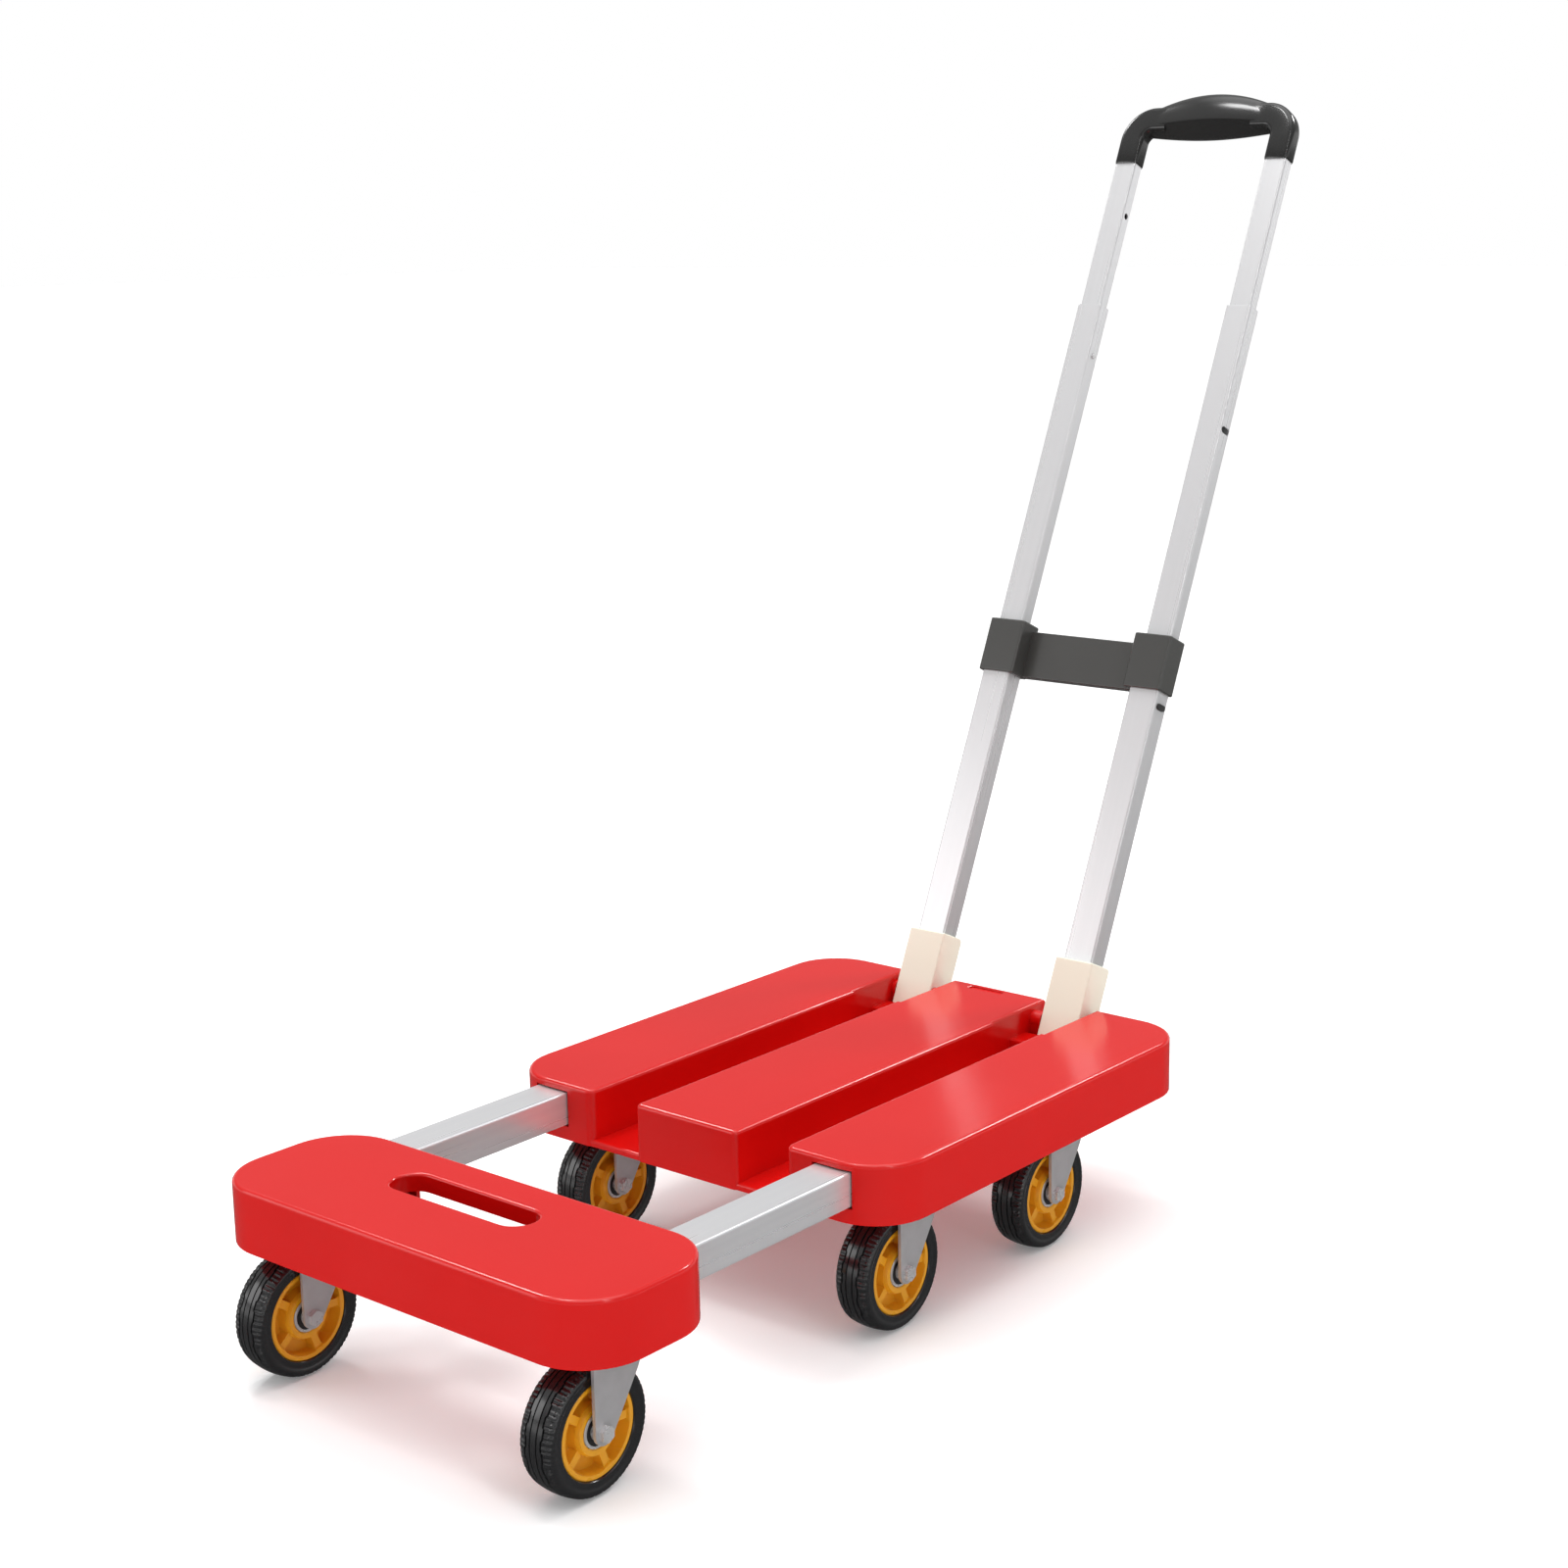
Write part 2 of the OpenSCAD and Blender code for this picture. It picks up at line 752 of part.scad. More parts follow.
// One leg of a fork: upright in front, sloping behind, round at the axle
module fork_leg() {
    front = -caster_trail - fork_boss;
    translate([fork_inside, 0, 0]) rotate([90, 0, 90]) linear_extrude(fork_outside - fork_inside) {
        polygon([
            [front, wheel_radius], [front, fork_top], [fork_back, fork_top], [fork_back, fork_low - 1.5],
            [-caster_trail + 6.8, wheel_radius - 3.2], [-caster_trail, wheel_radius]
        ]);
        translate([-caster_trail, wheel_radius]) circle(fork_boss);
    }
}

module fork() {
    color([0.68, 0.69, 0.7]) difference() {
        union() {
            for (side = [left, right]) to_side(side) fork_leg();
            box([-fork_outside, -caster_trail - fork_boss, fork_low], [fork_outside, fork_back, fork_top]);
        }
        at_axle() rod_x(axle_radius + running_gap, 3 * fork_outside);
        translate([0, 0, fork_low - 1]) cylinder(r = 5 + running_gap, h = fork_plate + 2);
    }
}

// Bolt, nut and the two spacers beside the hub
module axle() {
    spacer = fork_inside - hub_width / 2 - 0.1;
    color("silver") at_axle() {
        rod_x(axle_radius, 2 * fork_outside + 4);
        for (side = [left, right]) to_side(side) {
            translate([fork_outside, 0, 0]) rotate([0, 90, 0])
                cylinder(r = axle_nut[0], h = axle_nut[1], $fn = 6);
            translate([fork_inside - spacer, 0, 0]) rotate([0, 90, 0]) cylinder(r = 6, h = spacer);
        }
    }
}

// Five pockets between the rim, the boss and the spokes
module hub_pockets() {
    difference() {
        cylinder(r = hub_radius - hub_rim, h = hub_pocket);
        cylinder(r = bearing_radius + hub_boss, h = hub_pocket);
        for (spoke = [0:4])
            rotate(spoke * 72) translate([0, -hub_spoke / 2, 0])
                cube([hub_radius, hub_spoke, hub_pocket]);
    }
}

module hub() {
    color([0.9, 0.56, 0.1]) at_axle() rotate([0, 90, 0]) difference() {
        cylinder(r = hub_radius, h = hub_width, center = true);
        cylinder(r = 6, h = hub_width + 2, center = true);
        for (side = [left, right]) mirror([0, 0, side == left ? 1 : 0]) {
            translate([0, 0, hub_width / 2 - bearing_width])
                cylinder(r = bearing_radius, h = bearing_width + 1);
            translate([0, 0, hub_width / 2 - hub_pocket]) hub_pockets();
        }
    }
}

module bearings() {
    color("lightgray") at_axle() rotate([0, 90, 0])
        for (z = [-hub_width / 2, hub_width / 2 - bearing_width]) translate([0, 0, z])
            difference() {
                cylinder(r = bearing_radius, h = bearing_width);
                translate([0, 0, -1]) cylinder(r = axle_radius + running_gap, h = bearing_width + 2);
            }
}

// Tyre with round shoulders and three grooves round its tread
module tyre() {
    shoulder = 4;
    groove = 1.2;
    color([0.06, 0.06, 0.06]) at_axle() rotate([0, 90, 0]) rotate_extrude() difference() {
        union() {
            translate([hub_radius, -tyre_width / 2])
                square([wheel_radius - shoulder - hub_radius, tyre_width]);
            translate([hub_radius, shoulder - tyre_width / 2])
                square([wheel_radius - hub_radius, tyre_width - 2 * shoulder]);
            for (y = [-1, 1])
                translate([wheel_radius - shoulder, y * (tyre_width / 2 - shoulder)]) circle(shoulder);
        }
        for (y = [-4, 0, 4])
            translate([wheel_radius - groove, y - groove / 2]) square([groove + 1, groove]);
    }
}

deck_shell();
deck_base_plate();
deck_screws();
deck_tube_bushes();
hinge_rod();
deck_caster_mounts();
fold_release_tab();
board_shell();
board_base_plate();
board_screws();
board_caster_mounts();
extension_tube(left);  // extension_tube_left
extension_tube(right);  // extension_tube_right
extension_tube_stops();
handle_socket(left);  // handle_socket_left
handle_socket(right);  // handle_socket_right
lower_tube(left);  // lower_tube_left
lower_tube(right);  // lower_tube_right
crossbar();
middle_tube(left);  // middle_tube_left
middle_tube(right);  // middle_tube_right
middle_tube_plugs();
top_tube(left);  // top_tube_left
top_tube(right);  // top_tube_right
top_tube_plugs();
grip();
lower_button(left);  // lower_button_left
lower_button(right);  // lower_button_right
upper_button(left);  // upper_button_left
upper_button(right);  // upper_button_right
for (i = [0:5]) {
    at_caster(i) fork();
    at_caster(i) axle();
    at_caster(i) hub();
    at_caster(i) bearings();
    at_caster(i) tyre();
}
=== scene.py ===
"""Looks of a folding platform cart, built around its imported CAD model.

Lengths are in metres and millimetres are written as a number times MM. The grip, the sliding tubes
and the casters are drawn in plain millimetres, and turned into metres where their meshes are made.
"""

import json
import math

import bmesh
import bpy
from mathutils import Matrix, Vector


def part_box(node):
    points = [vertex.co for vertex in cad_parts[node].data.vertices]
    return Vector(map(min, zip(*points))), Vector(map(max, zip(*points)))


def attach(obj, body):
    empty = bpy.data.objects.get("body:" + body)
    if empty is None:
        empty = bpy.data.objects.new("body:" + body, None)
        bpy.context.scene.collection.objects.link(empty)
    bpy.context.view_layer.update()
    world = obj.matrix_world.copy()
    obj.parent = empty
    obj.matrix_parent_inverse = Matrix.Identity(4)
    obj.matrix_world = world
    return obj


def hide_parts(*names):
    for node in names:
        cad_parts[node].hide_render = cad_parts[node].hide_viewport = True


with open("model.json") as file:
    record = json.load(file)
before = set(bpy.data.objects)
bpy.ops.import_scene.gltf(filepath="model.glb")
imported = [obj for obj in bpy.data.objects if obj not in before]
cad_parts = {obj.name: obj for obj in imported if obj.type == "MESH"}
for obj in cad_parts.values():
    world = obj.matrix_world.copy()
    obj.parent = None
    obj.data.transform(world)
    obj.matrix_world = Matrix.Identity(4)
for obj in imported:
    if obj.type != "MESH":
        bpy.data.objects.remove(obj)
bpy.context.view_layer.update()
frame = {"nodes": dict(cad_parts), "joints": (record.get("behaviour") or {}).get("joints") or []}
joints = {joint["name"]: joint for joint in frame["joints"]}
MM = 0.001
SIDES = (("left", -1), ("right", 1))
SIGNS = (-1, 1)
PLACES = [end + "_" + side for end in ("front", "middle", "rear") for side in ("left", "right")]

deck_low, deck_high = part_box("deck_shell")
board_low, board_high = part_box("board_shell")
UNDERSIDE = deck_low.z
HINGE = Vector(joints["handle_fold"]["pos_m"])
down_tube = joints["middle_slide"]["axis"]
LEAN = math.atan2(-down_tube[1], -down_tube[2])
HANDLE = Matrix.Translation(HINGE) @ Matrix.Rotation(-LEAN, 4, "X")
# Turns an outline of (y, z) points, lofted along z, into one that runs along x.
SIDEWAYS = Matrix(((0, 0, 1, 0), (1, 0, 0, 0), (0, 1, 0, 0), (0, 0, 0, 1)))
# How far a cutter reaches past the face that it opens.
SPARE = 5 * MM


# Pieces


def add_piece(name, mesh, body, material, replaced, place=(0, 0, 0)):
    """Makes an object of a finished mesh, riding on a body and standing for a CAD node."""
    piece = bpy.data.objects.new(name, mesh)
    bpy.context.scene.collection.objects.link(piece)
    piece.location = place
    if not mesh.materials:
        mesh.materials.append(material)
    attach(piece, body)
    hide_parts(replaced)
    return piece


def smooth(mesh, angle=32):
    """Shades a mesh smooth, but keeps edges sharper than an angle in degrees."""
    for polygon in mesh.polygons:
        polygon.use_smooth = True
    mesh.set_sharp_from_angle(angle=math.radians(angle))


def even_normals(piece):
    """Keeps large flat faces flat where they meet rounded edges."""
    modifier = piece.modifiers.new("normals", "WEIGHTED_NORMAL")
    modifier.weight = 100
    modifier.keep_sharp = True


def soften(piece, width):
    """Rounds the sharp edges of a piece without changing its mesh."""
    modifier = piece.modifiers.new("edges", "BEVEL")
    modifier.width = width
    modifier.segments = 2
    modifier.limit_method = "ANGLE"
    modifier.angle_limit = math.radians(40)


# Outlines


def rounded_loop(corners, arc_steps=10):
    """Points of a counter-clockwise outline. Each corner is (x, y, radius)."""
    loop = []
    count = len(corners)
    for i in range(count):
        x, y, radius = corners[i]
        here = Vector((x, y))
        if radius <= 0:
            loop.append(here)
            continue
        before = (Vector(corners[i - 1][:2]) - here).normalized()
        after = (Vector(corners[(i + 1) % count][:2]) - here).normalized()
        half = before.angle(after) / 2
        reach = radius / math.tan(half)
        middle = here + (before + after).normalized() * (radius / math.sin(half))
        start = here + before * reach - middle
        turn = math.pi - 2 * half
        if before.x * after.y - before.y * after.x > 0:
            turn = -turn
        for k in range(arc_steps + 1):
            a = turn * k / arc_steps
            loop.append(middle + Vector((
                start.x * math.cos(a) - start.y * math.sin(a),
                start.x * math.sin(a) + start.y * math.cos(a),
            )))
    return loop


def box_loop(x0, x1, y0, y1, radius=0.0, arc_steps=6):
    """A rectangle's outline, with the same radius at each corner."""
    corners = [(x0, y0, radius), (x1, y0, radius), (x1, y1, radius), (x0, y1, radius)]
    return rounded_loop(corners, arc_steps)


def stadium(centre_x, centre_y, length, width, steps=16):
    """A slot's outline with round ends, or a circle where length and width are the same."""
    radius = width / 2
    loop = []
    for sign in (1, -1):
        for k in range(steps + 1):
            a = math.pi * (k / steps - 0.5) + (0 if sign > 0 else math.pi)
            loop.append(Vector((centre_x + sign * (length / 2 - radius) + radius * math.cos(a),
                                centre_y + radius * math.sin(a))))
    return loop


def inset(loop, distance):
    """The outline moved inwards, or outwards where distance is negative."""
    moved = []
    count = len(loop)
    for i in range(count):
        a = (loop[i] - loop[i - 1]).normalized()
        b = (loop[(i + 1) % count] - loop[i]).normalized()
        na, nb = Vector((-a.y, a.x)), Vector((-b.y, b.x))
        moved.append(loop[i] + (na + nb) * (distance / (1 + na.dot(nb))))
    return moved


def edge_layers(low, high, low_radius, high_radius, steps=5):
    """Heights and insets of a slab whose bottom and top edges are round."""
    layers = []
    for radius, level, sign in ((low_radius, low, 1), (high_radius, high, -1)):
        part = [
            (level + sign * radius * (1 - math.sin(t)), radius * (1 - math.cos(t)))
            for t in (math.pi / 2 * (1 - k / steps) for k in range(steps + 1))
        ]
        layers += part if sign > 0 else part[::-1]
    return layers


def straight(low, high):
    """Heights and insets of a slab with plain edges."""
    return [(low, 0.0), (high, 0.0)]


# Meshes


def to_mesh(bm, matrix=None):
    """Finishes a bmesh: no double points, faces outwards, and moved by a matrix if one is given."""
    bmesh.ops.remove_doubles(bm, verts=bm.verts, dist=1e-7)
    bmesh.ops.recalc_face_normals(bm, faces=bm.faces)
    if matrix is not None:
        bm.transform(matrix)
    mesh = bpy.data.meshes.new("mesh")
    bm.to_mesh(mesh)
    bm.free()
    return mesh


def skin(rings, matrix=None, endless=False):
    """A closed mesh through rings of points, with a flat face at each end.

    Where endless is true, the last ring joins the first one instead."""
    bm = bmesh.new()
    rings = [[bm.verts.new(point) for point in ring] for ring in rings]
    following = rings[1:] + (rings[:1] if endless else [])
    for one, two in zip(rings, following):
        for i in range(len(one)):
            k = (i + 1) % len(one)
            bm.faces.new((one[i], one[k], two[k], two[i]))
    if not endless:
        bm.faces.new(rings[0][::-1])
        bm.faces.new(rings[-1])
    return to_mesh(bm, matrix)


def loft(loop, layers, matrix=None):
    """A closed mesh through an outline at several heights, each with its own inset."""
    rings = [[(p.x, p.y, level) for p in inset(loop, distance)] for level, distance in layers]
    return skin(rings, matrix)


def revolve(profiles, matrix=None):
    """A closed ring about Z through outlines of (radius, height) points, spread evenly round it."""
    rings = []
    for step, profile in enumerate(profiles):
        a = 2 * math.pi * step / len(profiles)
        rings.append([(r * math.cos(a), r * math.sin(a), z) for r, z in profile])
    return skin(rings, matrix, endless=True)


def box_mesh(low, high):
    """A plain box between two corners."""
    return loft(box_loop(low[0], high[0], low[1], high[1]), straight(low[2], high[2]))


def in_mm(points):
    """Metres from pairs of millimetres."""
    return [(a * MM, b * MM) for a, b in points]


def combine(mesh, others, operation):
    """Joins, cuts or intersects a closed mesh with others, one after another."""
    for other in others:
        base = bpy.data.objects.new("base", mesh)
        tool = bpy.data.objects.new("tool", other)
        for temporary in (base, tool):
            bpy.context.scene.collection.objects.link(temporary)
        modifier = base.modifiers.new("boolean", "BOOLEAN")
        modifier.operation = operation
        modifier.solver = "EXACT"
        modifier.object = tool
        bpy.context.view_layer.update()
        evaluated = base.evaluated_get(bpy.context.evaluated_depsgraph_get())
        mesh = bpy.data.meshes.new_from_object(evaluated)
        for temporary in (base, tool):
            bpy.data.objects.remove(temporary)
    mesh.materials.clear()
    return mesh


# Materials


class Surface:
    """A node material with helpers that keep its recipe short."""

    def __init__(self, name, color, rough, metallic=0.0, shine=0.5):
        self.material = bpy.data.materials.new(name)
        self.material.use_nodes = True
        self.nodes = self.material.node_tree.nodes
        self.links = self.material.node_tree.links
        self.shader = self.nodes["Principled BSDF"]
        self.shader.inputs["Base Color"].default_value = (*color, 1)
        self.shader.inputs["Roughness"].default_value = rough
        self.shader.inputs["Metallic"].default_value = metallic
        self.shader.inputs["Specular IOR Level"].default_value = shine
        self.color = color
        self.rough = rough
        self.place = self.nodes.new("ShaderNodeTexCoord").outputs["Object"]

    def noise(self, scale, detail, stretch=(1, 1, 1), turn=0.0):
        """Noise fixed to the object, turned about X first and then stretched."""
        turned = self.nodes.new("ShaderNodeMapping")
        turned.inputs["Rotation"].default_value = (turn, 0, 0)
        self.links.new(self.place, turned.inputs["Vector"])
        mapping = self.nodes.new("ShaderNodeMapping")
        mapping.inputs["Scale"].default_value = stretch
        self.links.new(turned.outputs["Vector"], mapping.inputs["Vector"])
        noise = self.nodes.new("ShaderNodeTexNoise")
        noise.inputs["Scale"].default_value = scale
        noise.inputs["Detail"].default_value = detail
        self.links.new(mapping.outputs["Vector"], noise.inputs["Vector"])
        return noise.outputs["Fac"]

    def spread(self, value, low, high):
        """Widens the middle of a noise's range to run from low to high."""
        node = self.nodes.new("ShaderNodeMapRange")
        node.inputs["From Min"].default_value = 0.3
        node.inputs["From Max"].default_value = 0.7
        node.inputs["To Min"].default_value = low
        node.inputs["To Max"].default_value = high
        self.links.new(value, node.inputs["Value"])
        return node.outputs["Result"]

    def vary_color(self, value, other):
        """Varies the base colour between the material's own and another."""
        mix = self.nodes.new("ShaderNodeMix")
        mix.data_type = "RGBA"
        mix.inputs["A"].default_value = (*self.color, 1)
        mix.inputs["B"].default_value = (*other, 1)
        self.links.new(self.spread(value, 0.0, 1.0), mix.inputs["Factor"])
        self.links.new(mix.outputs["Result"], self.shader.inputs["Base Color"])

    def vary_rough(self, value, least, most):
        """Varies the roughness between two multiples of the material's own."""
        result = self.spread(value, self.rough * least, self.rough * most)
        self.links.new(result, self.shader.inputs["Roughness"])

    def bump(self, value, height):
        node = self.nodes.new("ShaderNodeBump")
        node.inputs["Strength"].default_value = 1.0
        node.inputs["Distance"].default_value = height
        self.links.new(value, node.inputs["Height"])
        self.links.new(node.outputs["Normal"], self.shader.inputs["Normal"])


def plastic(name, color, other, rough, shine, grain=0.0, height=0.0):
    """Moulded plastic: a faint drift of colour and gloss, and a fine grain where height is given."""
    surface = Surface(name, color, rough, shine=shine)
    surface.vary_color(surface.noise(9, 3), other)
    surface.vary_rough(surface.noise(14, 3), 0.93, 1.08)
    if height > 0:
        surface.bump(surface.noise(grain, 2), height)
    return surface.material


def drawn_metal(name, color, other, rough, turn):
    """Satin aluminium with fine lines along a tube that leans by an angle."""
    surface = Surface(name, color, rough, metallic=0.6)
    surface.vary_color(surface.noise(240, 2, (1, 1, 0.01), turn), other)
    surface.vary_rough(surface.noise(300, 2, (1, 1, 0.006), turn), 0.97, 1.04)
    return surface.material


def plated_metal(name, color, other, rough):
    """Zinc or polished steel, faintly cloudy and grainy."""
    surface = Surface(name, color, rough, metallic=0.55)
    surface.vary_color(surface.noise(70, 4), other)
    surface.vary_rough(surface.noise(160, 4), 0.88, 1.15)
    surface.bump(surface.noise(900, 2), 0.004 * MM)
    return surface.material


RED = plastic("red plastic", (0.66, 0.005, 0.004), (0.63, 0.004, 0.003), 0.18, 0.5)
RED_UNDER = plastic(
    "red base", (0.52, 0.008, 0.007), (0.47, 0.006, 0.005), 0.42, 0.3, grain=700, height=0.006 * MM)
CREAM = plastic(
    "cream plastic", (0.90, 0.90, 0.76), (0.88, 0.87, 0.72), 0.42, 0.4, grain=700, height=0.004 * MM)
BLACK = plastic("gloss black", (0.013, 0.013, 0.013), (0.017, 0.017, 0.016), 0.17, 0.6)
DARK = plastic(
    "dark grey", (0.050, 0.050, 0.047), (0.045, 0.045, 0.042), 0.24, 0.8, grain=500, height=0.003 * MM)
MATT = plastic(
    "matt black", (0.018, 0.018, 0.018), (0.026, 0.026, 0.026), 0.55, 0.5, grain=900, height=0.008 * MM)
ORANGE = plastic(
    "orange plastic", (0.78, 0.36, 0.016), (0.73, 0.32, 0.013), 0.27, 0.4, grain=300, height=0.006 * MM)
RUBBER = plastic(
    "tyre rubber", (0.010, 0.010, 0.011), (0.015, 0.015, 0.016), 0.16, 0.8, grain=900, height=0.004 * MM)
TUBE = drawn_metal("tube aluminium", (0.78, 0.78, 0.79), (0.76, 0.76, 0.77), 0.28, LEAN)
RAIL = drawn_metal("rail aluminium", (0.84, 0.84, 0.85), (0.80, 0.80, 0.82), 0.28, math.pi / 2)
STEEL = plated_metal("zinc steel", (0.60, 0.60, 0.61), (0.53, 0.53, 0.54), 0.36)
SEAL = plated_metal("bearing steel", (0.74, 0.74, 0.74), (0.66, 0.66, 0.67), 0.28)


# Deck: three slats on a tray, hollowed only where something else moves or shows

EDGE = 3 * MM
UNDER_EDGE = 1 * MM
CORNER = 40 * MM
SLAT = 45 * MM
CHANNEL = 41 * MM
CHANNEL_OUT = SLAT + CHANNEL
# Near the hinge, both walls of a channel step back to make room for a socket.
STEP = 2.5 * MM
STEP_Y = deck_high.y - 70 * MM
WIDE_IN = SLAT - STEP
WIDE_OUT = CHANNEL_OUT + STEP
FLOOR = 5 * MM


def extension_tube_middles():
    """The (x, z) middle of each extension tube."""
    low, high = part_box("extension_tube_right")
    return [(sign * (low.x + high.x) / 2, (low.z + high.z) / 2) for sign in SIGNS]


def deck_mesh():
    """The three slats, joined by the tray that is the channels' floor, with all its openings."""
    front, back, half = deck_low.y, deck_high.y, deck_high.x
    side_corner, centre_corner, tray_overlap = 7 * MM, 4 * MM, 12 * MM
    right = [
        (CHANNEL_OUT, front, side_corner), (half, front, CORNER), (half, back, CORNER),
        (WIDE_OUT, back, 0), (WIDE_OUT, STEP_Y, 0), (CHANNEL_OUT, STEP_Y, 0),
    ]
    left = [(-x, y, radius) for x, y, radius in reversed(right)]
    centre = [
        (-SLAT, front, centre_corner), (SLAT, front, centre_corner), (SLAT, STEP_Y, 0),
        (WIDE_IN, STEP_Y, 0), (WIDE_IN, back, 0), (-WIDE_IN, back, 0), (-WIDE_IN, STEP_Y, 0),
        (-SLAT, STEP_Y, 0),
    ]
    layers = edge_layers(UNDERSIDE, deck_high.z, UNDER_EDGE, EDGE)
    slats = [loft(rounded_loop(corners), layers) for corners in (centre, right, left)]
    reach = CHANNEL_OUT + tray_overlap
    tray = loft(box_loop(-reach, reach, front + 1 * MM, back - 0.5 * MM),
                edge_layers(UNDERSIDE, UNDERSIDE + FLOOR, UNDER_EDGE, 2 * MM))
    mesh = combine(tray, slats, "UNION")
    return combine(mesh, tube_passages() + release_slot() + [base_plate_seat()], "DIFFERENCE")


def tube_passages():
    """A mouth for each extension tube, and the room behind it for the guide bushes."""
    mouth_x, mouth_z, mouth_depth = 15.6 * MM, 12.9 * MM, 6 * MM
    room_x, room_start, room_end = 18 * MM, 3 * MM, 256 * MM
    front = deck_low.y
    bush_low, bush_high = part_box("deck_tube_bushes")
    middle_z = (bush_low.z + bush_high.z) / 2
    cutters = []
    for x, _ in extension_tube_middles():
        cutters.append(box_mesh((x - mouth_x, front - SPARE, middle_z - mouth_z),
                                (x + mouth_x, front + mouth_depth, middle_z + mouth_z)))
        cutters.append(box_mesh((x - room_x, front + room_start, bush_low.z),
                                (x + room_x, front + room_end, bush_high.z)))
    return cutters


def release_slot():
    """The slot that shows the release tab, and the wider room below it."""
    half_x, half_y, corner, chamfer = 15 * MM, 3.5 * MM, 1 * MM, 0.8 * MM
    room_x, room_y = 20 * MM, 4.2 * MM
    top = deck_high.z
    tab_low, tab_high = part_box("fold_release_tab")
    x = (tab_low.x + tab_high.x) / 2
    y = (tab_low.y + tab_high.y) / 2
    slot = loft(
        box_loop(x - half_x, x + half_x, y - half_y, y + half_y, corner),
        [(top - 5 * MM, 0.0), (top - chamfer, 0.0), (top, -chamfer), (top + 2 * MM, -chamfer)])
    room = box_mesh((x - room_x, y - room_y, top - 18 * MM), (x + room_x, y + room_y, top - 3 * MM))
    return [slot, room]


def base_plate_seat():
    """The recess in the underside that the base plate is let into."""
    gap = 0.2 * MM
    low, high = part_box("deck_base_plate")
    outline = box_loop(low.x - gap, high.x + gap, low.y - gap, high.y + gap, CORNER - 3 * MM, 10)
    return loft(outline, straight(UNDERSIDE - SPARE, high.z))


def stop_mesh(sign):
    """The sloping block in a channel that the opened handle leans against."""
    into_wall, into_floor = 0.5 * MM, 1 * MM
    # The sloping face lies this far from the hinge in the handle's depth.
    face = -5.9 * MM
    front = HINGE.y - 32 * MM
    top = UNDERSIDE + 21.5 * MM
    bottom = UNDERSIDE + FLOOR - into_floor

    def face_y(z):
        along = (z - HINGE.z + face * math.sin(LEAN)) / math.cos(LEAN)
        return HINGE.y + along * math.sin(LEAN) + face * math.cos(LEAN)

    profile = rounded_loop([
        (front, bottom, 0), (face_y(bottom), bottom, 0),
        (face_y(top), top, 1.2 * MM), (front, top, 2 * MM)])
    ends = sorted((sign * (WIDE_IN - into_wall), sign * (WIDE_OUT + into_wall)))
    return loft(profile, straight(*ends), SIDEWAYS)


def hinge_bosses():
    """Bosses in the channels that carry the hinge rod on each side of a socket, and their bores."""
    radius, half_pillar, gap, into_wall, bore = 6.5 * MM, 5.5 * MM, 0.4 * MM, 1 * MM, 7.2 * MM
    foot = UNDERSIDE + FLOOR - into_wall
    arc_steps = 20
    outline = [Vector((HINGE.y - half_pillar, foot)), Vector((HINGE.y + half_pillar, foot))]
    start = -math.acos(half_pillar / radius)
    for k in range(arc_steps + 1):
        a = start + (math.pi - 2 * start) * k / arc_steps
        outline.append(Vector((HINGE.y + radius * math.cos(a), HINGE.z + radius * math.sin(a))))
    socket_low, socket_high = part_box("handle_socket_right")
    spans = [(WIDE_IN - into_wall, socket_low.x - gap), (socket_high.x + gap, WIDE_OUT + into_wall)]
    spans += [(-high, -low) for low, high in spans]
    hole = stadium(HINGE.y, HINGE.z, bore, bore, 12)
    bosses = [loft(outline, straight(low, high), SIDEWAYS) for low, high in spans]
    bores = [loft(hole, straight(low - 1 * MM, high + 1 * MM), SIDEWAYS) for low, high in spans]
    return bosses, bores


def make_deck():
    bosses, bores = hinge_bosses()
    stops = [stop_mesh(sign) for sign in SIGNS]
    mesh = combine(combine(deck_mesh(), stops + bosses, "UNION"), bores, "DIFFERENCE")
    smooth(mesh)
    even_normals(add_piece("deck_moulding", mesh, "deck", RED, "deck_shell"))


# Front board: a hollow moulding with a deep-rimmed hand slot

BOARD_CORNER = 42 * MM
CORNER_STEPS = 14
WALL = 3 * MM
HAND_SLOT = (-10 * MM, board_low.y + 73.75 * MM)
HAND_SLOT_LENGTH = 120 * MM
HAND_SLOT_WIDTH = 27.5 * MM
RIM_DEPTH = 12 * MM


def board_hollow():
    """The room inside the board, which leaves the hand slot's rim and a block round each tube."""
    block_x, block_depth, block_lift = 20 * MM, 18 * MM, 2.6 * MM
    back, top, half = board_high.y, board_high.z, board_high.x
    inside = box_loop(WALL - half, half - WALL, board_low.y + WALL, back - WALL,
                      BOARD_CORNER - WALL, CORNER_STEPS)
    room = loft(inside, straight(UNDERSIDE - SPARE, top - WALL))
    rim = stadium(*HAND_SLOT, HAND_SLOT_LENGTH + 2 * WALL, HAND_SLOT_WIDTH + 2 * WALL)
    kept = [loft(rim, straight(top - RIM_DEPTH, top))]
    for x, _ in extension_tube_middles():
        kept.append(box_mesh((x - block_x, back - block_depth, UNDERSIDE + block_lift),
                             (x + block_x, back, top)))
    return combine(room, kept, "DIFFERENCE")


